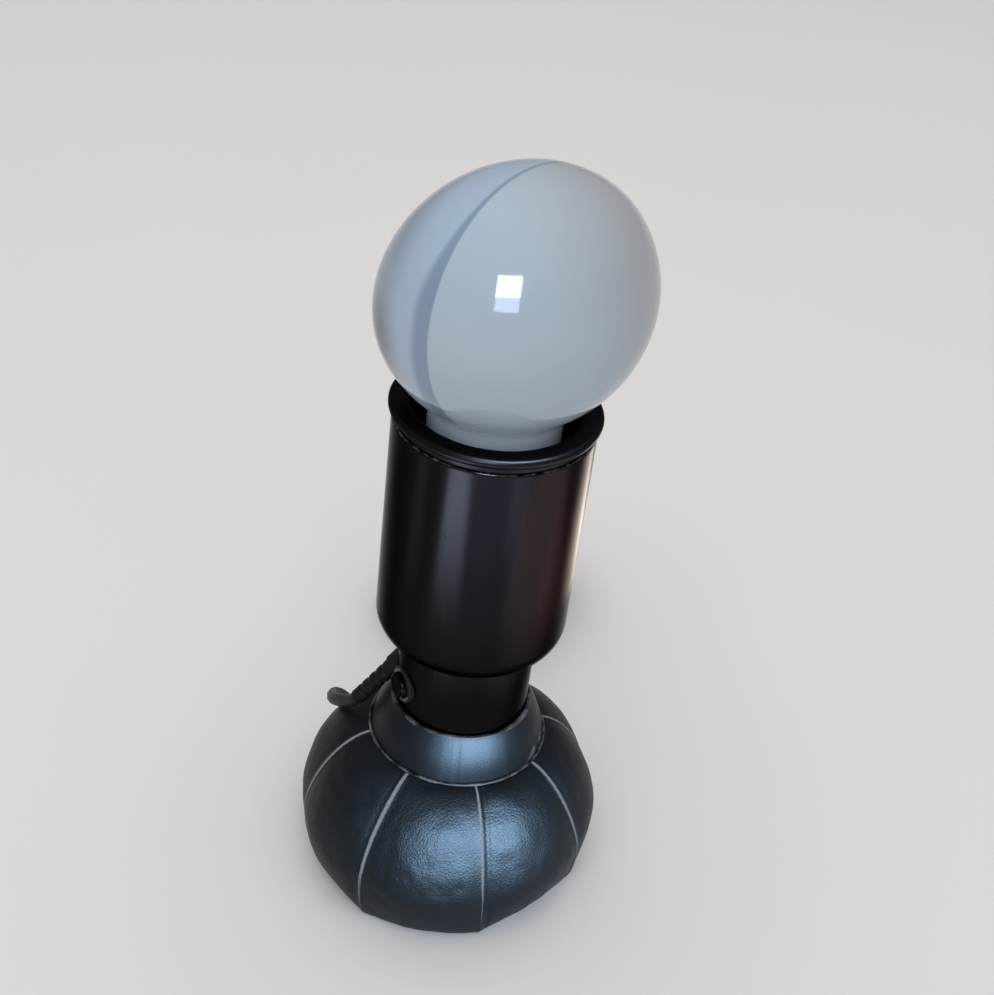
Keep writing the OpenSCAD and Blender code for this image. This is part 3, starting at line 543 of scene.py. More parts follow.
def makeTie():
    # A flat strap round the bundle, closed over itself on top
    half, lie, step = cordSet["width"] / 2, cordSet["lieZ"], cordSet["coilStep"]
    inner = cordSet["coilInner"] - half - tieSet["gapIn"]
    outer = cordSet["coilInner"] + cordSet["coilTurns"] * step + half + tieSet["gapOut"]
    low = lie - half - tieSet["gapLow"]
    high = lie + (cordSet["coilLayers"] - 1) * step + half + tieSet["gapHigh"]
    thick, wide, corner = tieSet["thick"], tieSet["wide"], tieSet["corner"]
    bm = bmesh.new()
    loop = []
    for cx, cz, start in ((outer - corner, high - corner, 0), (inner + corner, high - corner, 90),
                          (inner + corner, low + corner, 180), (outer - corner, low + corner, 270)):
        loop += arc((cx, cz), corner + thick, start, start + 90, 5)
    verts = [bm.verts.new((x, -wide / 2, z)) for x, z in loop]
    edges = [bm.edges.new((a, b)) for a, b in zip(verts, verts[1:] + verts[:1])]
    moveCorners(bm, bmesh.ops.extrude_edge_only(bm, edges=edges)["geom"], (0, wide, 0))
    bmesh.ops.recalc_face_normals(bm, faces=bm.faces)
    bmesh.ops.solidify(bm, geom=bm.faces[:], thickness=thick)
    addBlock(bm, tieSet["tab"], ((inner + outer) / 2 + tieSet["tabOff"], 0, high + thick + tieSet["tabUp"]),
             tieSet["tabEdge"])
    place = Matrix.Translation((cordSet["coilCentre"][0], cordSet["coilCentre"][1], 0))
    return newPiece("cordTie", bm, place @ Matrix.Rotation(math.pi, 4, "Z"), rubber)


plug = settle(makePlug(), "base", "plug_plastic", "plug_body")
pins = settle(makePins(), "base", "pin_brass", "plug_pins")
tie = settle(makeTie(), "base", "tie_plastic", "cord_tie")
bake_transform(cord)
print("cord, plug and tie laid")


# Strain relief: a ribbed sleeve that slants down from the neck round the cord

sleeve = {"rows": 61, "steps": 24, "endRows": 5, "endRound": 0.12, "sunk": 1.0, "rib": 0.32, "ribs": 5.5,
          "ribSharp": 1.6, "ribFrom": 0.08, "ribTo": 0.9, "bendEnd": 3}


def makeRelief():
    rows, steps, sunk = sleeve["rows"], sleeve["steps"], sleeve["sunk"]
    whole = rows - sleeve["endRows"]
    bm = spunGrid(rows, steps)
    for vert, row, _, way in eachPlace(bm, steps):
        share = min(1.0, row / whole)
        r = gland["rootR"] + (gland["tipR"] - gland["rootR"]) * share
        if sleeve["ribFrom"] < share < sleeve["ribTo"]:
            wave = math.sin(share * sleeve["ribs"] * math.tau) * sleeve["ribSharp"]
            r -= sleeve["rib"] * smoothStep(wave)
        r -= sleeve["endRound"] * max(0, row - whole)
        vert.co = (r * way.x, r * way.y, gland["out"] - sunk + (gland["relief"] + sunk) * share)
    ends = [e for e in bm.edges if e.is_boundary]
    bmesh.ops.holes_fill(bm, edges=ends, sides=0)
    place = (onStem @ Matrix.Rotation(math.radians(gland["turn"]), 4, "Z")
             @ Matrix.Translation((gland["neckR"], 0, gland["z"]))
             @ Matrix.Rotation(math.radians(90 + gland["drop"]), 4, "Y"))
    piece = newPiece("strainRelief", bm, place, rubber, 50)
    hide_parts("strain_relief")
    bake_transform(piece)


makeRelief()
print("strain relief made")


# Bag: eight gores over lead shot, seams standing up between them

bag = {
    "r": 50.5, "z": 20.0, "footR": 44.5, "mouthR": 28.5, "mouthZ": 52.0, "skin": 2.0, "swell": 1.4,
    "swellPower": 0.8, "chord": 0.9, "widest": 0.62, "mouthPower": 1.22, "bendFrom": 8.0, "split": 0.5,
    "upperBend": (29.4, 50.0), "lowerBend": (5.0, 26.6), "goreSteps": 36, "evenShare": 0.3, "outerRows": 48,
    "innerRows": 12, "seamTop": (-164.5, -119.5, -74.5, -29.5, 15.5, 60.5, 105.5, 150.5),
    "seamSpread": (-2, -3, 2, 7, 3, 0, 0, 0),
    "flat": (1, 0.4, 1.1, 1, 1, 1, 1, 1), "seamWide": (1.0, 1.1, 0.7, 1.1, 0.8, 0.9, 0.9, 0.9),
    "ridge": 0.2, "ridgeWide": 0.9, "groove": 0.07, "grooveAt": 1.9, "grooveWide": 0.8,
}
# Creases down the front panel: direction, place down the panel, slant, half length, half width, depth
# Puckers that curve round a point beside the front seam: radius and depth
markSet = {
    "creases": ((-95.3, 0.43, 13, 0.11, 0.55, 0.34), (-98.2, 0.45, 24, 0.09, 0.5, 0.26),
                (-91.5, 0.5, 8, 0.1, 0.5, 0.2), (-104, 0.4, 20, 0.08, 0.5, 0.16),
                (-86, 0.44, 4, 0.08, 0.45, 0.14)),
    "creasePerDegree": 0.8, "wander": 0.5, "wanderRate": 60, "stopAtSplit": 0.06, "reach": 12,
    "puckers": ((3.2, 0.13), (5.0, 0.17), (6.9, 0.11)), "puckerAt": (-68.5, 0.27), "puckerPerDegree": 0.7,
    "puckerPanel": 74, "puckerFrom": 3, "puckerOver": 5, "puckerWide": 0.5,
}
# The leather's own relief: stitched seams, lumps, folds where a panel is slack, rubbed seam tops
skin = {
    "levelTo": 0.05, "levelFrom": 0.94, "levelOver": 0.06, "frontSeam": 2, "frontDeep": 7.0, "stitch": 0.08,
    "stitchLong": 2.6, "panelLong": 64, "seamEnd": 0.74, "seamEndOver": 0.22, "seamClear": 5, "lump": 0.35,
    "lumpSize": 15, "dimple": 0.16, "dimpleSize": 5.5, "dimpleShift": (7, 3, 1), "slackAt": 0.58,
    "slackLong": 0.3, "slackGores": (1, 2, 5), "tightShare": 0.5, "fold": -0.24, "foldR": 46, "foldWide": 3.4,
    "foldTall": 14, "foldLean": 40, "foldShift": 5.0, "foldSharp": 7, "rubLeast": 0.55, "rubMore": 0.45,
    "rubAt": 0.3, "rubLong": 0.35, "rubCore": 0.3, "rubSoft": 0.75, "rubFade": 0.55, "rubFadeFrom": 0.45,
}


def bagProfile(v):
    top = bag["r"] - bag["swell"]
    if v < bag["widest"]:
        t = math.pi / 2 * (1 - v / bag["widest"])
        power = bag["mouthPower"]
        return (bag["mouthR"] + (top - bag["mouthR"]) * max(0.0, math.cos(t)) ** power,
                bag["z"] + (bag["mouthZ"] - bag["z"]) * math.sin(t) ** power)
    t = math.pi / 2 * (v - bag["widest"]) / (1 - bag["widest"])
    return bag["footR"] + (top - bag["footR"]) * math.cos(t), bag["z"] * (1 - math.sin(t))


def seamTurn(k, v):
    return bag["seamTop"][k % 8] + 360 * (k // 8) + bag["seamSpread"][k % 8] * smoothStep(v)


def bagPoint(gore, u, v, inset):
    left, right = seamTurn(gore, v), seamTurn(gore + 1, v)
    half = math.radians(right - left) / 2
    r, z = bagProfile(v)
    flat = min(1.0, bag["chord"] * bag["flat"][gore % 8])
    chord = flat * smoothStep((v - bag["widest"]) / (1 - bag["widest"]))
    r *= 1 - chord + chord * math.cos(half) / math.cos(half * u)
    r += bag["swell"] * math.sin(math.pi * v ** bag["swellPower"]) * (1 - u * u) - inset
    a = math.radians((left + right) / 2) + u * half
    lift = smoothStep((z - bag["bendFrom"]) / (bag["mouthZ"] - bag["bendFrom"]))
    return leaned(lift) @ Vector((r * math.cos(a), r * math.sin(a), z)), (1 - abs(u)) * half * r


def bagFacing(gore, u, v):
    e = 0.004
    across = bagPoint(gore, min(1, u + e), v, 0)[0] - bagPoint(gore, max(-1, u - e), v, 0)[0]
    down = bagPoint(gore, u, min(1, v + e), 0)[0] - bagPoint(gore, u, max(0, v - e), 0)[0]
    out = down.cross(across).normalized()
    here = bagPoint(gore, u, v, 0)[0]
    return -out if out.dot(here - Vector((0, 0, bag["z"]))) < 0 else out


def bagMarks(turn, v):
    # Depth of the creases and puckers at a place on the bag
    deep, reach = 0.0, markSet["reach"]
    for at, middle, slant, long, wide, depth in markSet["creases"]:
        if abs(turn - at) < reach:
            off = (turn - at - slant * (v - middle)) * markSet["creasePerDegree"]
            off += markSet["wander"] * math.sin((v - middle) * markSet["wanderRate"])
            stop = 1 - bump(v - bag["split"], markSet["stopAtSplit"])
            deep += depth * bump(off, wide) * bump(v - middle, long) * stop
    across = (turn - markSet["puckerAt"][0]) * markSet["puckerPerDegree"]
    down = (v - markSet["puckerAt"][1]) * markSet["puckerPanel"]
    if abs(across) < reach and abs(down) < reach:
        upper = smoothStep((across - down + markSet["puckerFrom"]) / markSet["puckerOver"])
        away = math.hypot(across, down)
        deep += sum(depth * upper * bump(away - r, markSet["puckerWide"]) for r, depth in markSet["puckers"])
    return deep


def bagRise(seam, left, off, v):
    # Height of a seam's ridge and of the groove beside it; the front seam is folded over to its left
    deep = bag["groove"] * (skin["frontDeep"] if seam == skin["frontSeam"] and left else 1.0)
    stitch = 1 + skin["stitch"] * math.sin(v * skin["panelLong"] * math.tau / skin["stitchLong"])
    rise = bag["ridge"] * bump(off, bag["ridgeWide"]) * stitch
    rise -= deep * bump(off - bag["grooveAt"], bag["grooveWide"])
    return rise * (1 - smoothStep((v - skin["seamEnd"]) / skin["seamEndOver"]))


def bagFolds(gore, turn, z):
    a = turn * skin["foldR"]
    up = z / skin["foldTall"] + a / skin["foldLean"]
    sharp = 1 - abs(noise.noise(Vector((a / skin["foldWide"], up, skin["foldShift"] + gore))))
    share = 1.0 if gore in skin["slackGores"] else skin["tightShare"]
    return skin["fold"] * sharp ** skin["foldSharp"] * share


def bagSkin(gore, u, v):
    # A point of the outer skin, and how rubbed it is there
    point, off = bagPoint(gore, u, v, 0)
    seam = (gore if u < 0 else gore + 1) % 8
    turn = math.atan2(point.y, point.x)
    level = smoothStep(v / skin["levelTo"])
    level *= 1 - smoothStep((v - skin["levelFrom"]) / skin["levelOver"])
    away = smoothStep(off / skin["seamClear"])
    lumps = skin["lump"] * noise.noise(point / skin["lumpSize"])
    lumps += skin["dimple"] * noise.noise(point / skin["dimpleSize"] + Vector(skin["dimpleShift"]))
    slack = bump(v - skin["slackAt"], skin["slackLong"]) * away
    height = (bagRise(seam, u < 0, off, v) + away * lumps) * level + slack * bagFolds(gore, turn, point.z)
    height -= away * bagMarks(math.degrees(turn), v)
    wide = skin["rubLeast"] + skin["rubMore"] * bump(v - skin["rubAt"], skin["rubLong"])
    wide *= bag["seamWide"][seam]
    wearAndGlint = 1 - smoothStep((off - skin["rubCore"] * wide) / (skin["rubSoft"] * wide))
    wearAndGlint *= 1 - skin["rubFade"] * smoothStep((v - skin["rubFadeFrom"]) / skin["rubFadeFrom"])
    return point + bagFacing(gore, u, v) * height, wearAndGlint


def goreAt(step):
    gore = step // bag["goreSteps"]
    t = (step % bag["goreSteps"]) / bag["goreSteps"] * 2 - 1
    return gore, bag["evenShare"] * t + (1 - bag["evenShare"]) * math.sin(math.pi / 2 * t)


def skinFacing(gore, u, v):
    e = 0.006
    down = bagSkin(gore, u, v + e)[0] - bagSkin(gore, u, v - e)[0]
    other = (gore - 1) % 8 if u <= -1 else gore
    before = bagSkin(other, 1 - e, v)[0] if u <= -1 else bagSkin(gore, u - e, v)[0]
    across = bagSkin(gore, u + e, v)[0] - before
    out = down.cross(across).normalized()
    return -out if out.dot(bagFacing(gore, u, v)) < 0 else out


def makeSkin(name, toV, lower, upper, start, end):
    fromV, outer, inner = bag["split"], bag["outerRows"], bag["innerRows"]
    rows = [(fromV + (toV - fromV) * i / outer, 0.0) for i in range(outer + 1)]
    rows += [(toV + (fromV - toV) * i / inner, bag["skin"]) for i in range(inner + 1)] + [(fromV, 0.0)]
    steps = 8 * bag["goreSteps"]
    bm = spunGrid(len(rows), steps)
    wearGlintLayer = bm.verts.layers.float.new("wearAndGlint")
    rimLayer = bm.verts.layers.int.new("rim")
    for vert in bm.verts:
        row, step = gridPlace(vert, steps)
        v, inset = rows[row]
        gore, u = goreAt(step)
        if inset:
            vert.co = bagPoint(gore, u, v, inset)[0]
        else:
            vert.co, vert[wearGlintLayer] = bagSkin(gore, u, v)
        if v == fromV and not inset:
            vert[rimLayer] = step + 1
    weld(bm)
    piece = newPiece(name, bm, Matrix.Identity(4), bagHide, 60)
    mesh = piece.data
    normals = [v.normal.copy() for v in mesh.vertices]
    for i, mark in enumerate(mesh.attributes["rim"].data):
        if mark.value:  # both skins shade alike along the line where they meet
            normals[i] = skinFacing(*goreAt(mark.value - 1), fromV)
    mesh.attributes.remove(mesh.attributes["rim"])
    mesh.normals_split_custom_set_from_vertices(normals)
    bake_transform(piece)
    return piece


bagUpper = makeSkin("bagUpper", 0.0, "shot", "stem", *bag["upperBend"])
bagLower = makeSkin("bagLower", 1.0, "base", "shot", *bag["lowerBend"])
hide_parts("bag_panel_1", "bag_panel_2", "bag_panel_3", "bag_panel_4")
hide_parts("bag_panel_5", "bag_panel_6", "bag_panel_7", "bag_panel_8")
print("bag sewn")


# Collar and its welt at the bag's mouth

cuff = {"footR": 28.5, "footZ": 52.2, "topR": 23.05, "topZ": 67.5, "neckR": 21.66, "bulge": 0.8, "rows": 18,
        "steps": 192, "edge": 0.5, "joinTurn": -88.0, "joinDeep": 0.3, "joinWide": 1.1, "joinFade": 0.2,
        "lump": 0.22, "ripple": 0.1, "rubTurn": -12, "rubSpread": 22, "topRub": 0.025, "footRub": 0.035,
        "sideRub": 0.16, "sideAt": 0.12}


def collarSection():
    # Radius, height and share of the way up; the share is below zero where the neck hides it
    footR, footZ, topR, topZ, neckR = [cuff[key] for key in ("footR", "footZ", "topR", "topZ", "neckR")]
    edge = cuff["edge"]
    rows = []
    for i in range(cuff["rows"] + 1):
        s = i / cuff["rows"]
        r = footR + (topR - footR) * s + cuff["bulge"] * math.sin(math.pi * s)
        rows.append((r, footZ + edge + (topZ - footZ - 2 * edge) * s, s))
    rows += [(topR - 0.12, topZ - 0.12, 1.0), (topR - 0.55, topZ, 1.0), (neckR + 0.3, topZ - 0.06, 1.0),
             (neckR, topZ - edge, 1.0)]
    rows += [(footR - 3.3, footZ + 0.2, -1), (footR - 3.1, footZ, -1), (footR - 0.6, footZ, 0),
             (footR - 0.12, footZ + 0.15, 0)]
    return rows + rows[:1]


def makeCollar():
    rows, steps = collarSection(), cuff["steps"]
    bm = spunGrid(len(rows), steps)
    wearGlintLayer = bm.verts.layers.float.new("wearAndGlint")
    for vert, row, a, way in eachPlace(bm, steps):
        r, z, s = rows[row]
        if s >= 0:
            lumps = cuff["lump"] * noise.noise(way * 2.6 + Vector((0, 0, s * 1.5)))
            r += (lumps + cuff["ripple"] * noise.noise(way * 9)) * (1 - s)
            join = bump(turnFrom(a, cuff["joinTurn"]), cuff["joinWide"])
            r -= cuff["joinDeep"] * join * smoothStep((1 - s) / cuff["joinFade"])
            rubs = 0.5 + 0.9 * noise.noise(way * 6 + Vector((2, 0, z / 5)))
            top = bump(1 - s, cuff["topRub"]) * min(0.7, 0.3 + 0.4 * rubs)
            foot = 0.7 * bump(s, cuff["footRub"]) * min(1.0, 0.2 + 0.8 * rubs)
            right = bump(turnFrom(a, cuff["rubTurn"]), cuff["rubSpread"])
            side = right * bump(s - cuff["sideAt"], cuff["sideRub"]) * rubs * 1.2
            vert[wearGlintLayer] = max(top, foot, side)
        vert.co = (r * way.x, r * way.y, z)
    weld(bm)
    return newPiece("leatherCollar", bm, onStem, collarHide, 60)


weltSet = {"r": 29.0, "z": 52.72, "thick": 0.42, "uneven": 0.3, "stray": 0.12, "rows": 13, "steps": 300,
           "shineTurn": -72.0, "shineSpread": 5, "shine": 0.6}


def makeWelt():
    rows, steps, stray = weltSet["rows"], weltSet["steps"], weltSet["stray"]
    bm = spunGrid(rows, steps)
    wearGlintLayer = bm.verts.layers.float.new("wearAndGlint")
    for vert, row, a, way in eachPlace(bm, steps):
        s = math.tau * row / (rows - 1)
        thick = weltSet["thick"] * (1 + weltSet["uneven"] * noise.noise(way * 8))
        r = weltSet["r"] + stray * noise.noise(way * 5) + thick * math.cos(s)
        z = weltSet["z"] + stray * noise.noise(way * 7 + Vector((4, 4, 0))) + thick * math.sin(s)
        # A painted highlight: a bright spot at the front, added to the welt's real wear so that it takes the
        # pale rubbed tone
        shine = weltSet["shine"] * bump(turnFrom(a, weltSet["shineTurn"]), weltSet["shineSpread"])
        vert[wearGlintLayer] = 0.5 + 0.5 * noise.noise(way * 7 + Vector((1, 8, 2))) + shine
        vert.co = (r * way.x, r * way.y, z)
    weld(bm)
    return newPiece("mouthWelt", bm, onStem, collarHide, 80)


collar = settle(makeCollar(), "stem", "collar_leather", "collar")
welt = settle(makeWelt(), "stem", "seam_edge", "mouth_welt")
print("collar and welt made")


# Neck, cup and top ring, turned about the stem

neckSet = {"r": 21.6, "wall": 1.6, "low": 52.3, "top": 93.9, "rubZ": 68.2}
cupSet = {"r": 30.0, "wall": 1.5, "low": 94.0, "high": 172.5, "shoulder": 9.0, "hole": 5.05, "steps": 192}
ringSet = {"r": 31.2, "bore": 24.6, "low": 174.5, "high": 3.2, "round": 1.5, "seatR": 29.25, "seatZ": 172.55,
           "spigot": 28.35, "spigotIn": 26.85, "spigotDeep": 5.0}


def markWearAndGlint(bm, rule):
    # Each point gets a share of wear; on the push button this share is a painted highlight
    layer = bm.verts.layers.float.new("wearAndGlint")
    for vert in bm.verts:
        vert[layer] = rule(math.hypot(vert.co.x, vert.co.y), vert.co)
    return bm


def makeNeck():
    r, wall, low, top = neckSet["r"], neckSet["wall"], neckSet["low"], neckSet["top"]
    rub = neckSet["rubZ"]
    section = [(r - wall, low), (r - 0.3, low), (r, low + 0.3), (r, rub - 0.7), (r, rub), (r, rub + 0.7),
               (r, rub + 3), (r, top - 0.5)]
    section += arc((r - 0.5, top - 0.5), 0.5, 0, 90, 4) + [(r - wall, top)]
    bm = markWearAndGlint(spunSection(section, 160), lambda radius, at: 0.3 * bump(at.z - rub, 0.5))
    return newPiece("neck", bm, onStem, cupLacquer)


def makeCup():
    r, wall, low, high = cupSet["r"], cupSet["wall"], cupSet["low"], cupSet["high"]
    bend = cupSet["shoulder"]
    section = [(cupSet["hole"], low)] + arc((r - bend, low + bend), bend, -90, 0, 20)
    section += [(r, low + bend + 20 * i) for i in (1, 2, 3)] + [(r, high - 1.1)]
    section += arc((r - 0.45, high - 0.45), 0.45, 0, 90, 5)
    section += arc((r - wall + 0.35, high - 0.35), 0.35, 90, 180, 4)
    section += arc((r - bend, low + bend), bend - wall, 0, -90, 12) + [(cupSet["hole"], low + wall)]
    bm = markWearAndGlint(spunSection(section, cupSet["steps"]),
                  lambda radius, at: 0.6 * bump(high - 0.1 - at.z, 0.4))
    return newPiece("spunCup", bm, onStem, cupLacquer)


def makeRing():
    low, edge = ringSet["low"], ringSet["round"]
    high = low + ringSet["high"]
    rim, bore = ringSet["r"] - edge, ringSet["bore"] + edge
    section = arc((rim, low + edge), edge, -90, 0, 10) + arc((rim, high - edge), edge, 0, 90, 10)
    section += arc((bore, high - edge), edge, 90, 180, 10) + arc((bore, low + edge), edge, 180, 225, 5)
    inner, outer, seatR, seatZ = [ringSet[key] for key in ("spigotIn", "spigot", "seatR", "seatZ")]
    deep = seatZ - ringSet["spigotDeep"]
    section += [(inner, low + 0.3), (inner, deep), (outer, deep), (outer, seatZ), (seatR, seatZ),
                (seatR, low)]

    def rubbedAndGlint(radius, at):
        return 0.55 * bump(radius - ringSet["bore"] - 0.75, 0.7) * bump(at.z - high + 0.75, 0.8)

    return newPiece("topRing", markWearAndGlint(spunSection(section, cupSet["steps"]), rubbedAndGlint), onStem, ringLacquer)


neck = settle(makeNeck(), "stem", "black_lacquer", "neck_tube")
cup = settle(makeCup(), "stem", "black_lacquer", "cup")
ring = settle(makeRing(), "stem", "ring_lacquer", "top_ring")
print("neck, cup and ring turned")


# Push button and its bezel on the neck

knob = {"turn": -150.0, "z": 76.5, "buttonR": 4.4, "bezelR": 6.2, "bezelIn": 5.45, "bezelTop": 22.5,
        "bezelFoot": 20.0, "foot": 17.5, "out": 1.8, "round": 1.0}
onSwitch = (onStem @ Matrix.Rotation(math.radians(knob["turn"]), 4, "Z")
            @ Matrix.Translation((0, 0, knob["z"])) @ Matrix.Rotation(math.radians(90), 4, "Y"))


def makeButton():
    r, top = knob["buttonR"], knob["bezelTop"] + knob["out"]
    foot, edge = knob["foot"], knob["round"]
    section = [(0, foot), (r, foot), (r, top - edge)] + arc((r - edge, top - edge), edge, 0, 80, 6)
    section += [(r * 0.55, top - 0.12), (r * 0.25, top - 0.3), (0, top - 0.36)]

    # The crescent along the button's lower rim is a painted highlight, drawn in the lacquer's pale bare tone
    def rubbedAndGlint(radius, at):
        rim = 0.85 * bump(radius - r + 0.3, 0.45) * bump(at.z - top + 0.45, 0.6)
        return rim * smoothStep((at.x / r + 0.1) / 0.6)

    return newPiece("pushButton", markWearAndGlint(spunSection(section, 64), rubbedAndGlint), onSwitch, cupLacquer)


def makeBezel():
    r, inside, top = knob["bezelR"], knob["bezelIn"], knob["bezelTop"]
    foot = knob["bezelFoot"]
    section = [(inside, foot), (r, foot), (r, top - 0.8)] + arc((r - 0.6, top - 0.6), 0.6, 0, 90, 5)
    section += arc((inside + 0.15, top - 0.15), 0.15, 90, 180, 3)
    return newPiece("switchBezel", spunSection(section, 72), onSwitch, rubber)


button = settle(makeButton(), "button", "button_plastic", "switch_button")
bezel = settle(makeBezel(), "stem", "black_lacquer", "switch_bezel")
print("switch made")


# Bulb: a flattened globe with its window to the back left, on a wide glass neck

bulb = {
    "centre": (1.2302, -1.8239, 213.3), "axis": (-0.5026, 0.7451, 0.4384), "across": 40.0, "bowl": 37.4,
    "window": 32.7, "neckR": 19.8, "neckLeast": 165.0, "rootR": 12.75, "rootZ": 150.5, "rootHigh": 1.5,
    "flareZ": 160.5, "fillet": 5.0, "steps": 144, "globeRows": 72, "edgeFacing": (-0.768, 0.6397, -0.0313),
    "edgeOff": -4.695, "bandNarrow": 0.8, "bandFrom": 5, "bandOver": 34, "rimFrom": 9, "rimOver": 13,
    "rimLeast": 0.35, "rimTop": 12, "rimFade": 24, "greyWay": (0.9, 0.34, 0.49), "greyFrom": 2,
    "greyOver": 34,
}
globeCentre, globeAxis, edgeFacing = Vector(bulb["centre"]), Vector(bulb["axis"]), Vector(bulb["edgeFacing"])


def globeReach(way):
    s = way.dot(globeAxis)
    depth = bulb["window"] if s > 0 else bulb["bowl"]
    return 1 / math.sqrt((1 - s * s) / bulb["across"] ** 2 + s * s / depth ** 2)


def neckJoin(a):
    low, high = bulb["neckLeast"], bulb["centre"][2] - bulb["fillet"]
    for _ in range(40):
        mid = (low + high) / 2
        off = Vector((bulb["neckR"] * math.cos(a), bulb["neckR"] * math.sin(a), mid)) - globeCentre
        if off.length > globeReach(off.normalized()):
            low = mid
        else:
            high = mid
    return Vector((bulb["neckR"] * math.cos(a), bulb["neckR"] * math.sin(a), low))


def bulbColumn(a):
    # Points up one side of the bulb, with how far each belongs to the neck
    way = Vector((math.cos(a), math.sin(a), 0))
    join = neckJoin(a)
    root, high = Vector((0, 0, bulb["rootZ"])), Vector((0, 0, bulb["rootZ"] + bulb["rootHigh"]))
    column = [(root, 1.0), (way * bulb["rootR"] + root, 1.0), (way * bulb["rootR"] + high, 1.0)]
    foot = way * bulb["neckR"] + Vector((0, 0, bulb["flareZ"]))
    below = join - Vector((0, 0, bulb["fillet"]))
    column += [(foot.lerp(below, i / 8), 1.0) for i in range(9)]
    off = join - globeCentre
    rise = math.acos(off.normalized().z)
    side = math.atan2(off.y, off.x)

    def onGlobe(angle):
        to = Vector((math.sin(angle) * math.cos(side), math.sin(angle) * math.sin(side), math.cos(angle)))
        return globeCentre + to * globeReach(to)

    start = rise - bulb["fillet"] / bulb["across"]
    above = onGlobe(start)
    for i in range(1, 6):
        t = i / 6
        column.append((below * (1 - t) ** 2 + join * 2 * t * (1 - t) + above * t * t, 1 - t))
    rows = bulb["globeRows"]
    column += [(onGlobe(start * (1 - i / rows)), 0.0) for i in range(rows + 1)]
    return column


def makeBulb():
    steps = bulb["steps"]
    columns = [bulbColumn(math.tau * step / steps) for step in range(steps)]
    bm = spunGrid(len(columns[0]), steps)
    marks = [bm.verts.layers.float.new(name) for name in ("past", "band", "rim", "grey", "neck")]
    past, band, rim, grey, neck = marks
    for vert in bm.verts:
        row, step = gridPlace(vert, steps)
        vert.co, vert[neck] = columns[step][row]
        vert[past] = (vert.co - globeCentre).dot(edgeFacing) - bulb["edgeOff"]
        high = vert.co.z - globeCentre.z
        # Painted shade: the dark band's width beside the coating's edge, narrowing toward the top
        narrow = bulb["bandNarrow"] * smoothStep((high - bulb["bandFrom"]) / bulb["bandOver"])
        vert[band] = vert[past] / (1 - narrow)
        # Painted shade on the dome: darker toward its rim, most of all low down
        low = smoothStep((bulb["rimTop"] - high) / bulb["rimFade"])
        vert[rim] = (smoothStep((vert[past] - bulb["rimFrom"]) / bulb["rimOver"])
                     * (bulb["rimLeast"] + (1 - bulb["rimLeast"]) * low))
        # Painted shading: the bowl turns greyer toward its upper right
        right = Vector((vert.co.x, vert.co.y, high)).dot(Vector(bulb["greyWay"]))
        vert[grey] = smoothStep((right - bulb["greyFrom"]) / bulb["greyOver"])
    weld(bm)
    return newPiece("bulb", bm, onStem, bulbGlass, 60)


bulbPiece = settle(makeBulb(), "bulb", "opal_glass", "bulb_glass")
print("bulb blown")


# Floor and soft light

floorSet = {"half": 6.0, "colour": "#e8e6e5", "tint": "#e5e3e2", "low": -0.0003, "patch": 250}
# Soft boxes: direction, height, distance, size, power, colour, rays that miss them, pieces they light
lightSet = {
    "window": (-92.0, 31.0, 1.2, (0.375, 0.34), 9.0, "#e4eeff", "diffuse", None),
    "windowSill": (-92.0, 18.8, 1.2, (0.375, 0.31), 4.2, "#c6d4ff", "diffuse", None),
    "leatherGlow": (-68.0, 13.0, 1.2, (1.5, 0.6), 370.0, "#d2e6ff", "diffuse", "leather"),
    "ringGlow": (-50.0, 63.0, 1.2, (0.8, 0.35), 55.0, "#dceaff", "diffuse", "ring"),
    "front": (-96.0, 32.0, 1.3, (0.9, 0.9), 8.0, "#f7f8ff", "glossy", "lamp"),
    "fill": (-96.0, 50.0, 1.5, (1.2, 1.2), 5.0, "#f8faff", "glossy", None),
    "overhead": (90.0, 82.0, 2.0, (2.4, 2.4), 20.0, "#fffefd", "glossy", None),
}
lightAim = Vector((0.005, 0, 0.13))
# Cards on the floor that the lacquer mirrors: direction, fading end, other end, fade, width, glow, colour
cardSet = {
    "streak": (-121.0, 203, 350, 85, 115, 16.5, "#d8ecff"),
    "sideStreak": (-166.0, 190, 340, 60, 70, 1.1, "#dfe9f2"),
    "centre": (-85.0, 150, 350, 130, 240, 2.6, "#c8cdf6"),
    "patch": (-55.0, 210, 350, 60, 80, 4.4, "#cad8f6"),
    "right": (-22.0, 120, 400, 60, 210, 2.6, "#ffe2da"),
    "edge": (42.0, 150, 420, 60, 110, 8.0, "#fff0e2"),
    "warm": (10.0, 260, 140, 90, 160, 2.2, "#ff9f8f"),
}
cardSteps, cardLow, cardStack = 3, 0.001, 0.0002
leather, enamel = (bagUpper, bagLower, collar, welt), (cup, neck, ring, bezel, button)
linked = {"lacquer": enamel, "leather": leather, "ring": (ring,), "lamp": leather + enamel + (bulbPiece,)}
# Strength of the sky as a light, as what gloss mirrors and as a backdrop
skySet = {"colour": "#e4e3e2", "light": 0.62, "mirrored": 0.4, "backdrop": 0.82}


def makeFloor():
    mat, shader = newMaterial("paperSweep", {"Roughness": 0.9, "Specular IOR Level": 0.1})
    fibre = patches(mat, ownSpace(mat), floorSet["patch"], 2)
    joinTo(mat, shader, {"Base Color": mixTones(mat, fibre, floorSet["tint"], floorSet["colour"])})
    bm = bmesh.new()
    bmesh.ops.create_grid(bm, x_segments=2, y_segments=2, size=floorSet["half"])
    bmesh.ops.translate(bm, vec=(0, 0, floorSet["low"]), verts=bm.verts)
    mesh = bpy.data.meshes.new("floor")
    bm.to_mesh(mesh)
    bm.free()
    mesh.materials.append(mat)
    floor = bpy.data.objects.new("floor", mesh)
    scene.collection.objects.link(floor)


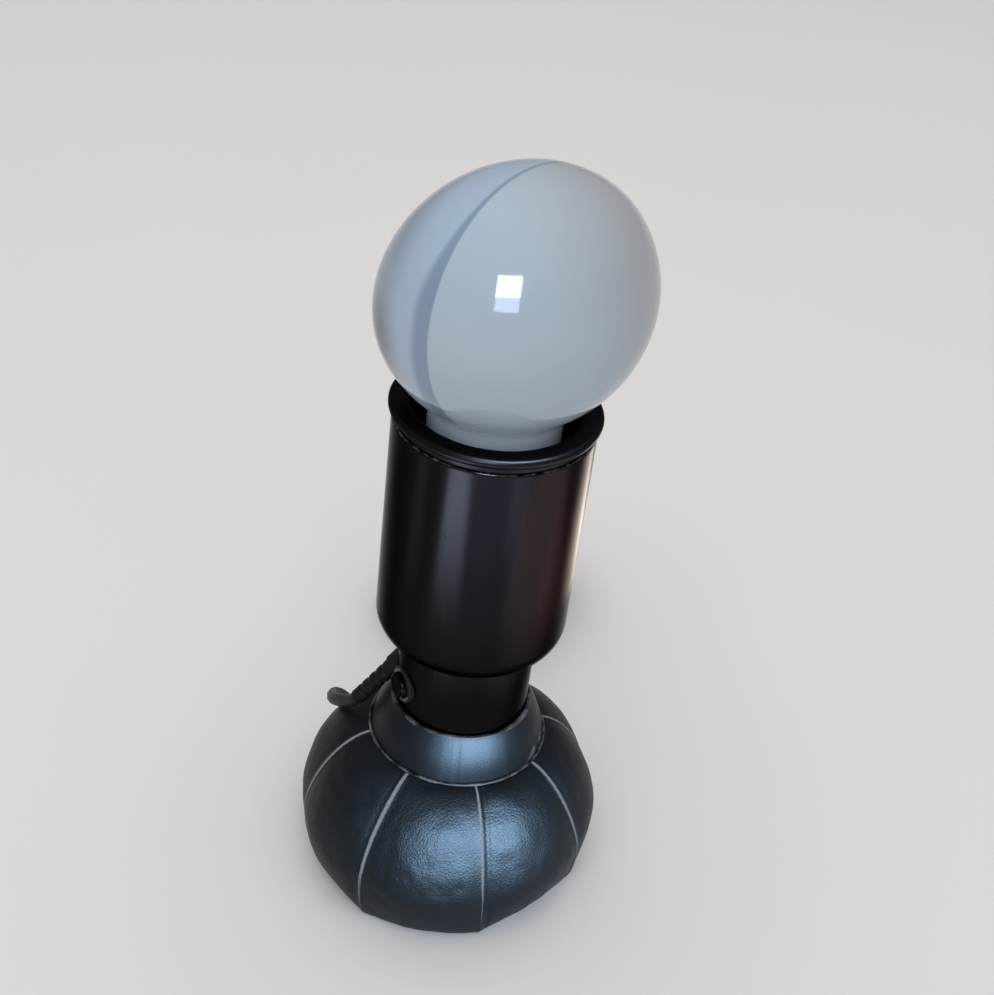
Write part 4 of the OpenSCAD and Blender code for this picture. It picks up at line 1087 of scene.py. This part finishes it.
def addLamp(name, place, size, power, colour, hideFrom):
    data = bpy.data.lights.new(name, "AREA")
    data.shape = "RECTANGLE"
    data.size, data.size_y = size
    data.energy = power
    data.color = hexColour(colour)[:3]
    lamp = bpy.data.objects.new(name, data)
    lamp.matrix_world = place
    lamp.visible_camera = False
    lamp.visible_glossy = hideFrom != "glossy"
    lamp.visible_diffuse = hideFrom != "diffuse"
    scene.collection.objects.link(lamp)
    return lamp


def linkTo(lamp, group):
    # The lamp then lights the pieces of that group alone
    if group not in bpy.data.collections:
        pieces = bpy.data.collections.new(group)
        for piece in linked[group]:
            pieces.objects.link(piece)
    lamp.light_linking.receiver_collection = bpy.data.collections[group]


def makeLight():
    for name, (turn, rise, away, size, power, colour, hideFrom, only) in lightSet.items():
        turn, rise = math.radians(turn), math.radians(rise)
        to = Vector((math.cos(rise) * math.cos(turn), math.cos(rise) * math.sin(turn), math.sin(rise)))
        facing = (-to).to_track_quat("-Z", "Y").to_matrix().to_4x4()
        lamp = addLamp(name, Matrix.Translation(lightAim + to * away) @ facing, size, power, colour, hideFrom)
        if only:
            linkTo(lamp, only)
    world = bpy.data.worlds.new("studio")
    world.use_nodes = True
    sky = world.node_tree.nodes["Background"]
    sky.inputs["Color"].default_value = hexColour(skySet["colour"])
    ray = addNode(world, "LightPath", {}, {}).outputs
    mirrored = addNode(world, "Mix", {2: skySet["light"], 3: skySet["mirrored"]},
                       {0: ray["Is Glossy Ray"]})
    seen = addNode(world, "Mix", {3: skySet["backdrop"]},
                   {0: ray["Is Camera Ray"], 2: mirrored.outputs[0]})
    joinTo(world, sky, {"Strength": seen.outputs[0]})
    scene.world = world


def makeCards():
    # No two steps lie at one height, so that their light adds up
    for index, (name, row) in enumerate(cardSet.items()):
        turn, first, last, fade, wide, glow, colour = row
        way = 1 if last > first else -1
        for step in range(cardSteps):
            start = first + way * fade * step / cardSteps
            size = (wide * mm, abs(last - start) * mm)
            lie = cardLow + cardStack * (cardSteps * index + step)
            middle = Matrix.Translation((0, (start + last) / 2 * mm, lie)) @ Matrix.Rotation(math.pi, 4, "X")
            place = Matrix.Rotation(math.radians(turn - 90), 4, "Z") @ middle
            power = glow / cardSteps * math.pi * size[0] * size[1]
            linkTo(addLamp(name, place, size, power, colour, "diffuse"), "lacquer")


makeFloor()
makeLight()
makeCards()
print("floor and light set")
